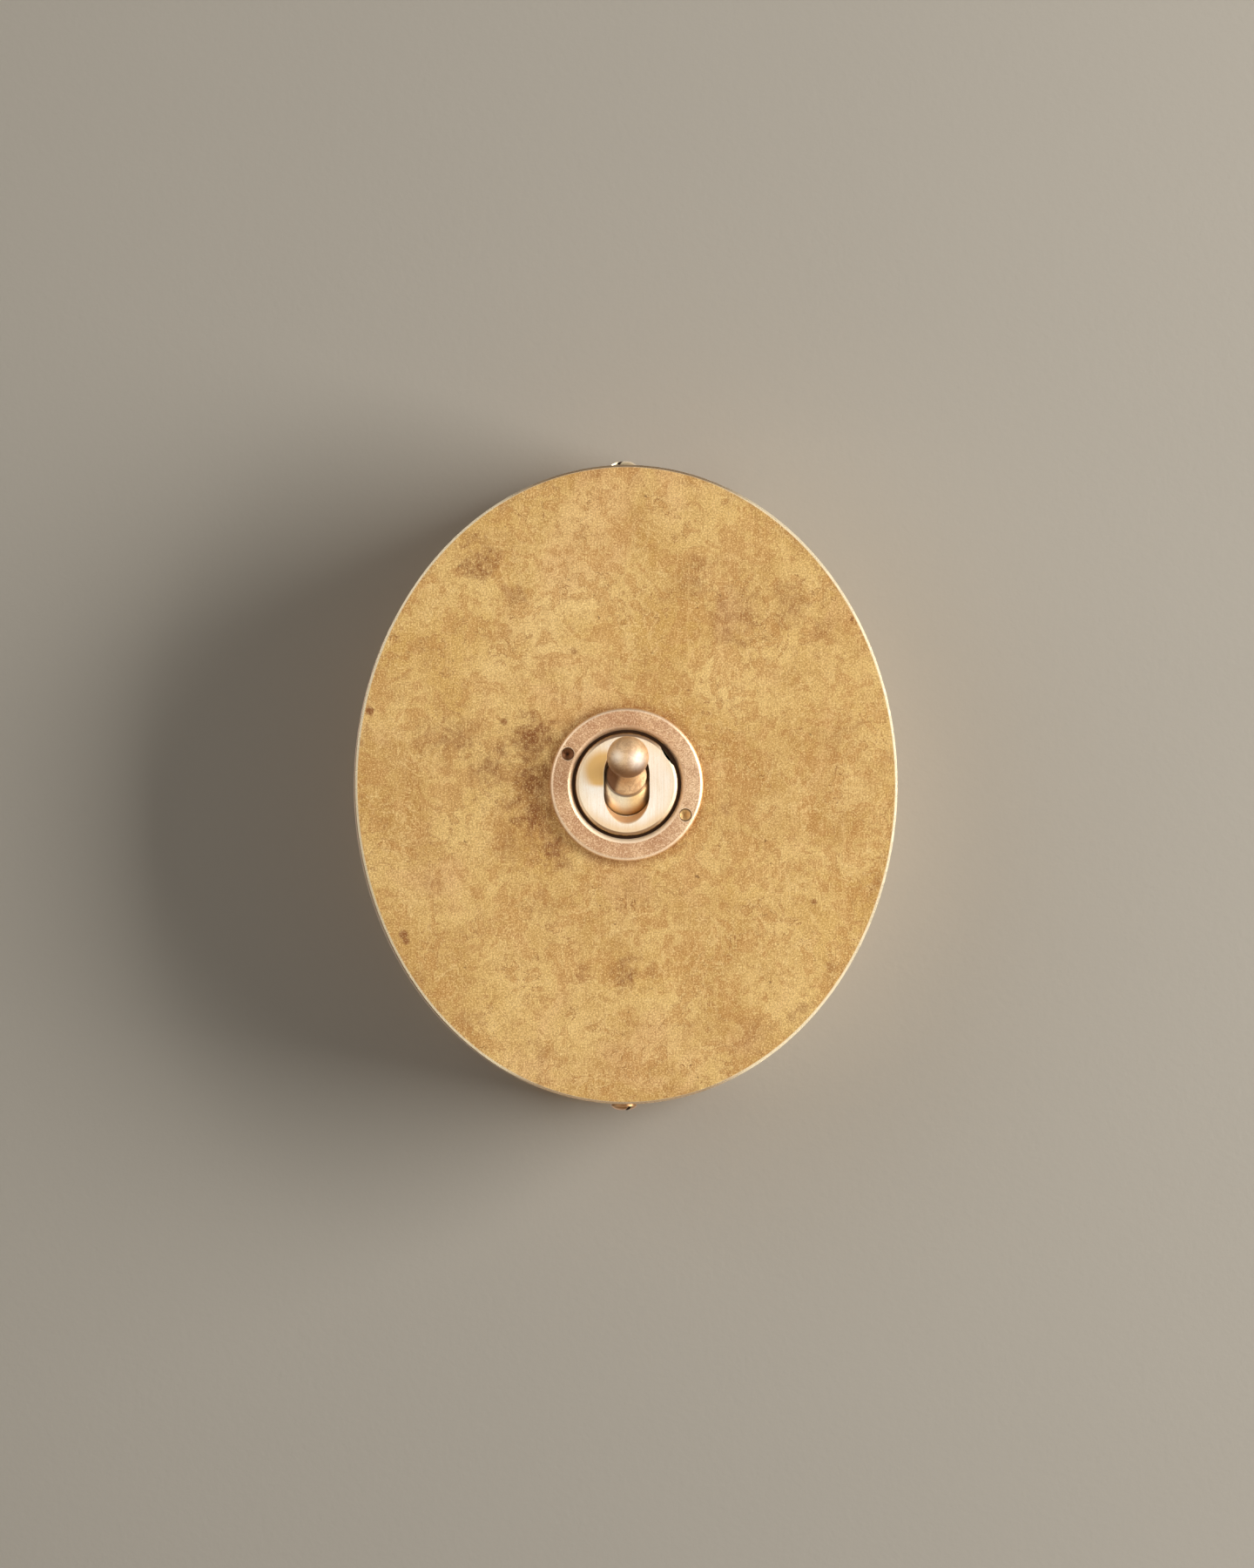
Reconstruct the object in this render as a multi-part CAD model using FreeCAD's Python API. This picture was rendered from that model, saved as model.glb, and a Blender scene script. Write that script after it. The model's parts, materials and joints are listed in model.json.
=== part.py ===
"""Brass dolly switch on a deep oval cover, fixed to a wall by a steel bracket.

The frame has its origin in the wall plane, on the axis of the switch. +Z is up, the room is
on the -Y side and the wall is behind the plane Y = 0. Sizes are in millimetres. The dolly is
drawn tipped up, as it stands in the photograph, and every other piece is drawn to suit.
"""

import FreeCAD, Part
import math
import os

V = FreeCAD.Vector
FRONT = V(0, -1, 0)
BACK = V(0, 1, 0)
UP = V(0, 0, 1)
RIGHT = V(1, 0, 0)

# Cover: an oval face plate with a band silver-soldered behind its edge
cover_width = 104.0
cover_height = 122.6
cover_depth = 40.0
face_thick = 2.0
band_thick = 1.5
face_edge_bevel = 0.35

# Threaded bush with the slotted face
bush_thread_radius = 9.7
bush_proud = 2.8
bush_face_chamfer = 0.5
bush_hole_clearance = 0.3
thread_clearance = 0.04
bush_wall = 2.3
slot_side_clearance = 0.6
slot_end_clearance = 0.3
slot_lip_width = 2.09
slot_relief_depth = 1.7
slot_relief_angle = 40.0
flange_overhang = 1.5
flange_thick = 2.0
flange_gap = 0.2
keyway_cutter_radius = 6.0
keyway_depth = 0.55
keyway_angle = 35.0

# Ring nut that clamps the face, with two holes for a pin spanner
ring_rim_width = 5.0
ring_thick = 2.3
ring_edge_round = 0.7
ring_recess_gap = 0.75
ring_recess_depth = 1.3
ring_lip_width = 0.85
ring_lip_drop = 0.7
ring_lip_fullness = 0.16
spanner_hole_inset = 2.0
spanner_hole_radius = 1.25
spanner_hole_depth = 1.1
spanner_hole_angle = -27.4
drill_point_angle = 118.0

# Lock washer and hexagon nut behind the face
washer_thick = 0.8
washer_rim = 3.6
washer_teeth = 14
tooth_gap_width = 1.5
tooth_gap_depth = 1.6
rear_nut_thick = 3.0
rear_nut_wall = 2.8
nut_corner_chamfer = 0.5

# Dolly: one turned piece, ball, neck, foot and pivot ball on the same axis
dolly_tilt = 15.0
dolly_ball_radius = 4.0
dolly_ball_reach = 19.8
dolly_ball_root_radius = 2.25
dolly_neck_radius = 2.05
dolly_neck_reach = 14.2
dolly_flare_top_radius = 2.2
dolly_flare_bow = 0.24
dolly_flare_bow_height = 0.36
dolly_foot_radius = 3.8
dolly_foot_land = 0.95
dolly_foot_round = 0.12
dolly_flare_height = 3.6
pivot_ball_cut = 3.0
pivot_ball_proud = 0.4
seat_clearance = 0.2
dolly_tail_radius = 2.0
dolly_tail_length = 2.6
dolly_tail_edge = 0.25

# Pivot pin across the bush
pivot_pin_radius = 1.0
pin_running_clearance = 0.03
pin_end_inset = 0.15

# Moulded actuator pressed on the tail, with the spring and plunger in its bore
actuator_radius = 3.1
actuator_length = 7.3
tail_press_clearance = 0.02
plunger_bore_radius = 1.6
plunger_clearance = 0.05
plunger_tip_radius = 1.4
plunger_reach = 12.0
plunger_engagement = 2.7
plunger_cup_radius = 1.08
plunger_cup_depth = 2.8
plunger_travel = 0.6
plunger_spare_travel = 0.8
spring_radius = 0.85
spring_wire_radius = 0.14
spring_turns = 5
spring_seat_gap = 0.02

# Rocking contact, its trunnion and the saddle that carries it
rocker_tilt = 7.5
rocker_axis_gap = 1.7
rocker_dish_clearance = 0.15
rocker_dish_half = 3.4
rocker_thick = 1.0
rocker_half_length = 8.9
rocker_half_width = 3.2
trunnion_radius = 0.8
trunnion_clearance = 0.03
saddle_gap = 0.3
saddle_thick = 1.0
saddle_half_height = 3.0
trunnion_overhang = 0.35
saddle_rise = 0.9
contact_radius = 1.4
contact_head = 0.8
contact_shank_radius = 0.7
contact_offset = 7.6
contact_gap = 0.12
contact_dome_radius = 3.0

# Moulded body and terminal base
body_half_width = 14.0
body_end_wall = 2.8
body_corner_radius = 2.0
body_edge_break = 0.4
mouth_clearance = 0.6
mouth_depth_clearance = 1.6
cavity_half_width = 5.6
cavity_end_clearance = 0.8
axis_to_floor = 2.3
base_floor_thick = 2.5
cell_depth = 7.0
cell_clearance = 0.15
body_screw_inset = 3.0
body_screw_radius = 1.25
body_screw_head_radius = 2.3
body_screw_hole_clearance = 0.05
body_screw_bite = 6.0
body_screw_slot_turns = (25, -50)
driver_slot_width = 0.6
driver_slot_depth = 0.6

# Fixed contact strips and terminals, one column down the back of the base
terminal_pitch = 11.8
terminal_width = 9.0
terminal_height = 7.4
terminal_depth = 6.5
terminal_edge = 0.3
wire_hole_radius = 1.6
wire_hole_inset = 3.2
stub_radius = 1.5
stub_clearance = 0.05
stub_head_radius = 2.1
stub_head_thick = 0.3
strip_half_width = 2.5
strip_end_margin = 2.6
strip_nose_margin = 0.6
terminal_screw_radius = 1.7
terminal_screw_head_radius = 2.8
terminal_screw_head_thick = 1.6
terminal_screw_back_off = 0.2
terminal_screw_edge_round = 0.35
terminal_screw_slot_turns = (12, -35, 70)

# Wall bracket: one folded steel strap
strap_thick = 2.0
strap_half_width = 14.0
strap_neck_length = 21.5
strap_shoulder_run = 12.0
strap_corner_radius = 4.0
ear_half_width = 6.0
ear_length = 18.0
ear_wall_clearance = 0.12
bend_radius = 1.5
cable_hole_radius = 10.0
wall_slot_pitch = 60.3
wall_slot_width = 4.4
wall_slot_length = 9.0

# Screws through the band into the bracket's ears
cover_screw_inset = 12.0
cover_screw_radius = 1.5
cover_screw_hole_clearance = 0.2
cover_screw_length = 8.0
cover_screw_head_radius = 2.5
cover_screw_head_height = 1.15
cover_screw_head_edge = 0.45
cover_screw_slot_width = 0.7
cover_screw_slot_depth = 0.55
cover_screw_slot_turn = 62.0
cover_screw_dome_fullness = 0.72

# Earth screw and cup washer on the bracket, between its lower slot and its ear
earth_screw_radius = 1.75
earth_screw_head_radius = 3.4
earth_screw_head_thick = 1.9
earth_washer_radius = 4.2
earth_washer_thick = 0.8
earth_washer_rim = 0.5
earth_washer_lip = 0.3
earth_screw_tip_inset = 0.2
earth_screw_edge_round = 0.6
earth_screw_recess_width = 3.4
earth_screw_recess_depth = 1.0
earth_screw_recess_turn = 20.0

# Sizes across the axis that follow from the ones above
ring_radius = bush_thread_radius + ring_rim_width
ring_recess_radius = bush_thread_radius + ring_recess_gap
spanner_circle_radius = ring_radius - spanner_hole_inset
rear_nut_across_flats = 2 * (bush_thread_radius + rear_nut_wall)
flange_radius = body_half_width + flange_overhang
seat_radius = bush_thread_radius - bush_wall
pivot_ball_radius = seat_radius - seat_clearance
pivot_depth = pivot_ball_radius - pivot_ball_proud
foot_reach = math.sqrt(pivot_ball_radius**2 - dolly_foot_radius**2)
swing = math.radians(dolly_tilt)
slot_width = 2 * (dolly_foot_radius + slot_side_clearance)
slot_length = 2 * (pivot_depth * math.tan(swing) + dolly_foot_radius / math.cos(swing)
                   + slot_end_clearance)
slot_relief_reach = bush_thread_radius - slot_lip_width - slot_length / 2
pivot_ball_cut_radius = math.sqrt(pivot_ball_radius**2 - pivot_ball_cut**2)
body_mouth_radius = seat_radius + mouth_clearance
body_screw_x = body_half_width - body_screw_inset
body_screw_z = -terminal_pitch / 2
cavity_half_height = terminal_pitch + strip_end_margin + cavity_end_clearance
body_half_height = cavity_half_height + body_end_wall
half_width = cover_width / 2
half_height = cover_height / 2
inner_half_width = half_width - band_thick
inner_half_height = half_height - band_thick
strap_shoulder_height = inner_half_height - strap_neck_length
lower_slot_end = (wall_slot_pitch + wall_slot_length) / 2
earth_screw_height = -(lower_slot_end + inner_half_height) / 2
plunger_bore_depth = plunger_engagement + plunger_travel + plunger_spare_travel

# Places along Y that follow
face_y = -cover_depth
face_back_y = face_y + face_thick
bush_face_y = face_y - bush_proud
pivot_y = bush_face_y + pivot_depth
washer_back_y = face_back_y + washer_thick
rear_nut_back_y = washer_back_y + rear_nut_thick
flange_front_y = rear_nut_back_y + flange_gap
flange_back_y = flange_front_y + flange_thick
ball_swing_back_y = (pivot_y + pivot_ball_cut * math.cos(swing)
                     + pivot_ball_cut_radius * math.sin(swing))
cavity_front_y = ball_swing_back_y + mouth_depth_clearance
rocker_axis_y = pivot_y + plunger_reach + rocker_axis_gap
floor_front_y = rocker_axis_y + axis_to_floor
floor_back_y = floor_front_y + base_floor_thick
base_back_y = floor_back_y + cell_depth
strip_front_y = floor_front_y - saddle_thick
terminal_back_y = floor_back_y + terminal_depth
wire_hole_y = floor_back_y + wire_hole_inset
PIVOT = V(0, pivot_y, 0)
ROCKER_AXIS = V(0, rocker_axis_y, 0)


def line(start, end):
    return Part.makeLine(V(*start, 0), V(*end, 0))


def arc(start, middle, end):
    return Part.Arc(V(*start, 0), V(*middle, 0), V(*end, 0)).toShape()


def turned(edges):
    """A solid of revolution about Y from edges drawn as (radius, y)."""
    face = Part.Face(Part.Wire(edges))
    return face.revolve(V(0, 0, 0), BACK, 360)


def turned_points(points):
    """A solid of revolution about Y from straight runs between (radius, y) points."""
    closed = points + points[:1]
    return turned([line(a, b) for a, b in zip(closed, closed[1:])])


def rod(radius, start_y, end_y, x=0.0, z=0.0):
    """A round bar along Y."""
    return Part.makeCylinder(radius, end_y - start_y, V(x, start_y, z), BACK)


def block(x, y, z):
    """A box from its (low, high) pairs on the three axes."""
    return Part.makeBox(x[1] - x[0], y[1] - y[0], z[1] - z[0], V(x[0], y[0], z[0]))


def moulded_block(y):
    """A box about the Y axis with its long edges rounded and its two rims broken."""
    box = block((-body_half_width, body_half_width), y, (-body_half_height, body_half_height))
    along = [e for e in box.Edges if abs(e.tangentAt(e.FirstParameter).y) > 0.99]
    box = box.makeFillet(body_corner_radius, along)
    rims = [e for e in box.Edges if e.BoundBox.YLength < 0.01]
    return box.makeChamfer(body_edge_break, rims)


def oval_prism(half_x, half_z, start_y, end_y):
    """An elliptical prism about the Y axis, whichever way it is longer."""
    oval = Part.Ellipse(V(0, 0, 0), max(half_x, half_z), min(half_x, half_z))
    edge = oval.toShape()
    if half_z > half_x:
        edge.rotate(V(0, 0, 0), UP, 90)
    edge.rotate(V(0, 0, 0), RIGHT, 90)
    edge.translate(V(0, start_y, 0))
    return Part.Face(Part.Wire(edge)).extrude(BACK * (end_y - start_y))


def stadium(width, length, start_y, end_y, z=0.0):
    """A slot with round ends, long along Z, cut through from start_y to end_y."""
    straight = (length - width) / 2
    middle = block((-width / 2, width / 2), (start_y, end_y), (z - straight, z + straight))
    ends = [rod(width / 2, start_y, end_y, 0, z + s * straight) for s in (-1, 1)]
    return middle.multiFuse(ends).removeSplitter()


def sector(x, z, angle):
    """The point at (x, z) turned about the Y axis, anticlockwise as seen from the room."""
    a = math.radians(angle)
    return x * math.cos(a) - z * math.sin(a), x * math.sin(a) + z * math.cos(a)


def drilled(radius, depth, mouth_y):
    """A blind drilling along +Y from mouth_y, with the cone of the drill's point."""
    cone = radius / math.tan(math.radians(drill_point_angle / 2))
    profile = [(0, mouth_y - 1), (radius, mouth_y - 1), (radius, mouth_y + depth)]
    return turned_points(profile + [(0, mouth_y + depth + cone)])


def make_cover():
    """The oval face plate and its band, soldered into one open-backed box."""
    shell = oval_prism(half_width, half_height, face_y, 0)
    rims = [e for e in shell.Edges if abs(e.BoundBox.YMin - e.BoundBox.YMax) < 0.01]
    front = [e for e in rims if e.BoundBox.YMin < face_y + 0.01]
    shell = shell.makeChamfer(face_edge_bevel, front)
    inside = oval_prism(inner_half_width, inner_half_height, face_back_y, 1.0)
    shell = shell.cut(inside)
    shell = shell.cut(rod(bush_thread_radius + bush_hole_clearance, face_y - 1, face_back_y + 1))
    hole_radius = cover_screw_radius + cover_screw_hole_clearance
    screw_line = V(0, -cover_screw_inset, -half_height - 1)
    return shell.cut(Part.makeCylinder(hole_radius, cover_height + 2, screw_line, UP))


def make_ring_nut():
    """The round dress nut: flat front, rolled edges, recess round the bush, two pin holes.

    The inner lip bows out from the straight line between its two ends by its fullness.
    """
    front = face_y - ring_thick
    bore = bush_thread_radius + thread_clearance
    r = ring_edge_round
    k = r * (1 - math.sqrt(0.5))
    lip = ring_recess_radius + ring_lip_width
    lip_y = front + ring_lip_drop
    bow_r = (ring_recess_radius + lip) / 2
    bow_y = front + (0.5 - ring_lip_fullness) * ring_lip_drop
    edges = [
        line((bore, face_y), (ring_radius, face_y)),
        line((ring_radius, face_y), (ring_radius, front + r)),
        arc((ring_radius, front + r), (ring_radius - k, front + k), (ring_radius - r, front)),
        line((ring_radius - r, front), (lip, front)),
        arc((lip, front), (bow_r, bow_y), (ring_recess_radius, lip_y)),
        line((ring_recess_radius, lip_y), (ring_recess_radius, front + ring_recess_depth)),
        line((ring_recess_radius, front + ring_recess_depth), (bore, front + ring_recess_depth)),
        line((bore, front + ring_recess_depth), (bore, face_y)),
    ]
    nut = turned(edges)
    for side in (0, 180):
        x, z = sector(spanner_circle_radius, 0, spanner_hole_angle + side)
        hole = drilled(spanner_hole_radius, spanner_hole_depth, front)
        hole.translate(V(x, 0, z))
        nut = nut.cut(hole)
    return nut


def slot_relief(side):
    """The dished relief at one end of the slot, milled by a cutter tipped outwards."""
    radius = slot_width / 2
    lean = math.radians(slot_relief_angle)
    outer_z = slot_length / 2 + slot_relief_reach
    centre_z = outer_z - radius / math.cos(lean)
    cutter = Part.makeCylinder(radius, 3 * bush_thread_radius, V(0, slot_relief_depth, 0), FRONT)
    cutter.rotate(V(0, 0, 0), RIGHT, -slot_relief_angle)
    cutter.translate(V(0, bush_face_y, centre_z))
    below = bush_face_y + slot_relief_depth
    wide = 2 * bush_thread_radius
    keep = block((-wide, wide), (bush_face_y - wide, below), (0, wide))
    cutter = cutter.common(keep)
    if side < 0:
        cutter = cutter.mirror(V(0, 0, 0), UP)
    return cutter


def make_bush():
    """The threaded bush: slotted face, ball seat, bore and the flange that takes the body."""
    c = bush_face_chamfer
    bore = seat_radius
    blank = turned_points([
        (0, bush_face_y),
        (bush_thread_radius - c, bush_face_y),
        (bush_thread_radius, bush_face_y + c),
        (bush_thread_radius, flange_front_y),
        (flange_radius, flange_front_y),
        (flange_radius, flange_back_y),
        (0, flange_back_y),
    ])
    bush = blank.common(block((-body_half_width, body_half_width),
                              (bush_face_y - 1, flange_back_y + 1),
                              (-flange_radius - 1, flange_radius + 1)))
    bush = bush.cut(Part.makeSphere(seat_radius, PIVOT))
    bush = bush.cut(rod(bore, pivot_y, flange_back_y + 1))
    bush = bush.cut(stadium(slot_width, slot_length, bush_face_y - 1, pivot_y))
    for side in (1, -1):
        bush = bush.cut(slot_relief(side))
    pin_line = V(-flange_radius, pivot_y, 0)
    bush = bush.cut(Part.makeCylinder(pivot_pin_radius, 2 * flange_radius, pin_line, RIGHT))
    cutter_x, cutter_z = sector(bush_thread_radius - keyway_depth + keyway_cutter_radius, 0,
                                keyway_angle)
    bush = bush.cut(rod(keyway_cutter_radius, bush_face_y - 1, flange_front_y, cutter_x, cutter_z))
    for x, z in body_screw_places():
        sink = turned_points(countersink_profile(body_screw_hole_clearance))
        sink.translate(V(x, 0, z))
        bush = bush.cut(sink)
    return bush


def make_lock_washer():
    """A shakeproof washer: a flat ring with notches round its outer edge."""
    inner = bush_thread_radius + bush_hole_clearance
    outer = bush_thread_radius + washer_rim
    washer = rod(outer, face_back_y, washer_back_y)
    washer = washer.cut(rod(inner, face_back_y - 1, washer_back_y + 1))
    for n in range(washer_teeth):
        gap = block((outer - tooth_gap_depth, outer + 1), (face_back_y - 1, washer_back_y + 1),
                    (-tooth_gap_width / 2, tooth_gap_width / 2))
        gap.rotate(V(0, 0, 0), BACK, 360.0 * n / washer_teeth)
        washer = washer.cut(gap)
    return washer


def make_rear_nut():
    """The hexagon nut that takes the bush up against the back of the face."""
    corner = rear_nut_across_flats / math.sqrt(3)
    points = [V(*p) for p in ((corner * math.cos(math.radians(60 * n)), washer_back_y,
                               corner * math.sin(math.radians(60 * n))) for n in range(7))]
    nut = Part.Face(Part.makePolygon(points)).extrude(BACK * rear_nut_thick)
    c = nut_corner_chamfer
    rounding = turned_points([
        (0, washer_back_y), (corner, washer_back_y), (corner, rear_nut_back_y - c),
        (corner - 2 * c, rear_nut_back_y), (0, rear_nut_back_y),
    ])
    nut = nut.common(rounding)
    return nut.cut(rod(bush_thread_radius + thread_clearance, washer_back_y - 1,
                       rear_nut_back_y + 1))


def tipped(shape):
    """A piece drawn with the dolly straight out, turned up to where the dolly rests."""
    shape.rotate(PIVOT, RIGHT, -dolly_tilt)
    return shape


def make_dolly():
    """Ball, waisted neck, flared foot, pivot ball and tail, turned from one bar."""
    at = pivot_y
    ball_y = at - dolly_ball_reach
    neck_y = at - dolly_neck_reach
    land_y = at - foot_reach - dolly_foot_land
    flare_y = land_y - dolly_flare_height
    join_r = dolly_ball_root_radius
    join_y = ball_y + math.sqrt(dolly_ball_radius**2 - join_r**2)
    f = dolly_foot_radius
    n = dolly_neck_radius
    rim = dolly_foot_round
    flare_r = dolly_flare_top_radius
    bow_r = flare_r + dolly_flare_bow * (f - rim - flare_r)
    bow_y = land_y - dolly_flare_bow_height * dolly_flare_height
    cut_r = pivot_ball_cut_radius
    cut_y = at + pivot_ball_cut
    tail_y = cut_y + dolly_tail_length
    edges = [
        arc((0, ball_y - dolly_ball_radius), (dolly_ball_radius, ball_y), (join_r, join_y)),
        arc((join_r, join_y), (n, neck_y), (flare_r, flare_y)),
        arc((flare_r, flare_y), (bow_r, bow_y), (f - rim, land_y)),
        line((f - rim, land_y), (f, land_y + rim)),
        line((f, land_y + rim), (f, at - foot_reach)),
        arc((f, at - foot_reach), (pivot_ball_radius, at), (cut_r, cut_y)),
        line((cut_r, cut_y), (dolly_tail_radius, cut_y)),
        line((dolly_tail_radius, cut_y), (dolly_tail_radius, tail_y - dolly_tail_edge)),
        line((dolly_tail_radius, tail_y - dolly_tail_edge),
             (dolly_tail_radius - dolly_tail_edge, tail_y)),
        line((dolly_tail_radius - dolly_tail_edge, tail_y), (0, tail_y)),
        line((0, tail_y), (0, ball_y - dolly_ball_radius)),
    ]
    dolly = turned(edges)
    bore = pivot_pin_radius + pin_running_clearance
    reach = 2 * pivot_ball_radius
    pin_hole = Part.makeCylinder(bore, 2 * reach, V(-reach, pivot_y, 0), RIGHT)
    return tipped(dolly.cut(pin_hole))


def make_pivot_pin():
    """The cross pin, held in the bush and trapped by the rear nut."""
    half = bush_thread_radius - pin_end_inset
    return Part.makeCylinder(pivot_pin_radius, 2 * half, V(-half, pivot_y, 0), RIGHT)


def make_actuator():
    """The moulded insulating arm on the dolly's tail, with the plunger's bore."""
    front = pivot_y + pivot_ball_cut
    back = front + actuator_length
    arm = rod(actuator_radius, front, back)
    socket = dolly_tail_radius + tail_press_clearance
    arm = arm.cut(rod(socket, front - 1, front + dolly_tail_length + tail_press_clearance))
    arm = arm.cut(rod(plunger_bore_radius, back - plunger_bore_depth, back + 1))
    return tipped(arm)


def make_plunger():
    """A cup with a round nose, open towards the spring."""
    radius = plunger_bore_radius - plunger_clearance
    nose_y = pivot_y + plunger_reach
    mouth_y = pivot_y + pivot_ball_cut + actuator_length - plunger_engagement
    shoulder_y = nose_y - plunger_tip_radius
    tip = plunger_tip_radius
    edges = [
        line((plunger_cup_radius, mouth_y), (radius, mouth_y)),
        line((radius, mouth_y), (radius, shoulder_y)),
        line((radius, shoulder_y), (tip, shoulder_y)),
        arc((tip, shoulder_y), (tip * math.sqrt(0.5), shoulder_y + tip * math.sqrt(0.5)),
            (0, nose_y)),
        line((0, nose_y), (0, mouth_y + plunger_cup_depth)),
        line((0, mouth_y + plunger_cup_depth), (plunger_cup_radius, mouth_y + plunger_cup_depth)),
        line((plunger_cup_radius, mouth_y + plunger_cup_depth), (plunger_cup_radius, mouth_y)),
    ]
    return tipped(turned(edges))


def make_plunger_spring():
    """The coil spring between the bottom of the bore and the bottom of the cup.

    Each half turn is a half ring leaned to climb its share, so the ends meet square.
    """
    bore_end = pivot_y + pivot_ball_cut + actuator_length - plunger_bore_depth
    cup_end = (pivot_y + pivot_ball_cut + actuator_length - plunger_engagement
               + plunger_cup_depth)
    inset = spring_wire_radius + spring_seat_gap
    climb = (cup_end - bore_end - 2 * inset) / (2 * spring_turns)
    halves = []
    for n in range(2 * spring_turns):
        side = 1 if n % 2 == 0 else -1
        start = V(side * spring_radius, bore_end + inset + n * climb, 0)
        middle = V(0, start.y + climb / 2, 0)
        disc = Part.Face(Part.Wire(Part.makeCircle(spring_wire_radius, start, UP)))
        halves.append(disc.revolve(middle, (start - middle).cross(UP * side), 180))
    return tipped(halves[0].multiFuse(halves[1:]))


def rocked(shape):
    """A piece drawn with the rocker level, turned to where the rocker rests."""
    shape.rotate(ROCKER_AXIS, RIGHT, rocker_tilt)
    return shape


def rocker_dish():
    """(centre, radius) along Y of the dish that the plunger's nose runs along.

    The nose swings with the dolly while the rocker turns the other way, so seen from the
    rocker its centre follows a curve. The circle goes through the middle and the ends.
    """
    swing = plunger_reach - plunger_tip_radius
    middle = rocker_axis_gap + plunger_tip_radius
    a = math.radians(dolly_tilt)
    b = math.radians(rocker_tilt)
    y = swing * math.cos(a) - swing - middle
    z = swing * math.sin(a)
    end_y = y * math.cos(b) - z * math.sin(b)
    end_z = y * math.sin(b) + z * math.cos(b)
    drop = -middle - end_y
    path_radius = (drop**2 + end_z**2) / (2 * drop)
    centre = -middle - path_radius
    return centre, path_radius + plunger_tip_radius + rocker_dish_clearance


def rocker_arm_front():
    """How far the flat of the rocker's arms stands in front of its axis, as a Y offset."""
    centre, radius = rocker_dish()
    return centre + math.sqrt(radius**2 - rocker_dish_half**2)


def make_rocker():
    """The rocking contact: a dished brass strip with a trunnion across its middle."""
    centre, radius = rocker_dish()
    arm_y = rocker_arm_front()
    t = rocker_thick
    inner = centre + radius
    d = rocker_dish_half
    end = rocker_half_length
    under = radius + t
    under_half = math.sqrt(under**2 - (arm_y + t - centre) ** 2)
    points = [V(0, y, z) for y, z in ((arm_y, d), (arm_y, end), (arm_y + t, end),
                                      (arm_y + t, under_half))]
    low = [V(0, p.y, -p.z) for p in points]
    side = Part.Wire([
        Part.Arc(low[0], V(0, inner, 0), points[0]).toShape(),
        Part.makeLine(points[0], points[1]),
        Part.makeLine(points[1], points[2]),
        Part.makeLine(points[2], points[3]),
        Part.Arc(points[3], V(0, inner + t, 0), low[3]).toShape(),
        Part.makeLine(low[3], low[2]),
        Part.makeLine(low[2], low[1]),
        Part.makeLine(low[1], low[0]),
    ])
    strip = Part.Face(side).extrude(RIGHT * (2 * rocker_half_width))
    strip.translate(V(-rocker_half_width, 0, 0))
    half = rocker_half_width + saddle_gap + saddle_thick + trunnion_overhang
    bar = Part.makeCylinder(trunnion_radius, 2 * half, V(-half, 0, 0), RIGHT)
    rocker = strip.fuse(bar).removeSplitter()
    for side_z in (-1, 1):
        rocker = rocker.cut(rod(contact_shank_radius, arm_y - 1, arm_y + t + 1, 0,
                                side_z * contact_offset))
    rocker.translate(ROCKER_AXIS)
    return rocked(rocker)


def make_moving_contacts():
    """Two silver rivets through the ends of the rocker."""
    front = rocker_arm_front()
    back = front + rocker_thick
    rivets = []
    for side in (-1, 1):
        z = side * contact_offset
        shank = rod(contact_shank_radius, front, back, 0, z)
        rivets.append(shank.fuse(rod(contact_radius, back, back + contact_head, 0, z)))
    pair = Part.makeCompound(rivets)
    pair.translate(ROCKER_AXIS)
    return rocked(pair)


def moving_contact_back():
    """(y, z) of the middle of the closed rivet's back face, with the dolly at rest."""
    y = rocker_arm_front() + rocker_thick + contact_head
    z = -contact_offset
    b = math.radians(rocker_tilt)
    return (rocker_axis_y + y * math.cos(b) - z * math.sin(b),
            y * math.sin(b) + z * math.cos(b))


def make_common_saddle():
    """The U-shaped strap whose notched cheeks carry the rocker's trunnion."""
    inner = rocker_half_width + saddle_gap
    outer = inner + saddle_thick
    top = rocker_axis_y - trunnion_radius - saddle_rise
    h = saddle_half_height
    strap = block((-outer, outer), (top, floor_front_y), (-h, h))
    strap = strap.cut(block((-inner, inner), (top - 1, strip_front_y), (-h - 1, h + 1)))
    notch_r = trunnion_radius + trunnion_clearance
    notch = Part.makeCylinder(notch_r, 2 * outer + 2, V(-outer - 1, rocker_axis_y, 0), RIGHT)
    notch = notch.fuse(block((-outer - 1, outer + 1), (top - 1, rocker_axis_y),
                             (-notch_r, notch_r)))
    strap = strap.cut(notch)
    return strap.cut(rod(stub_radius + stub_clearance, strip_front_y - 1, floor_front_y + 1))


def make_contact_strip(side):
    """A flat brass strip on the floor of the base, staked on its terminal's stub."""
    low = contact_offset - contact_radius - strip_nose_margin
    high = terminal_pitch + strip_end_margin
    strip = block((-strip_half_width, strip_half_width), (strip_front_y, floor_front_y),
                  (low, high))
    strip = strip.cut(rod(stub_radius + stub_clearance, strip_front_y - 1, floor_front_y + 1,
                          0, terminal_pitch))
    if side < 0:
        strip = strip.mirror(V(0, 0, 0), UP)
    return strip


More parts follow.
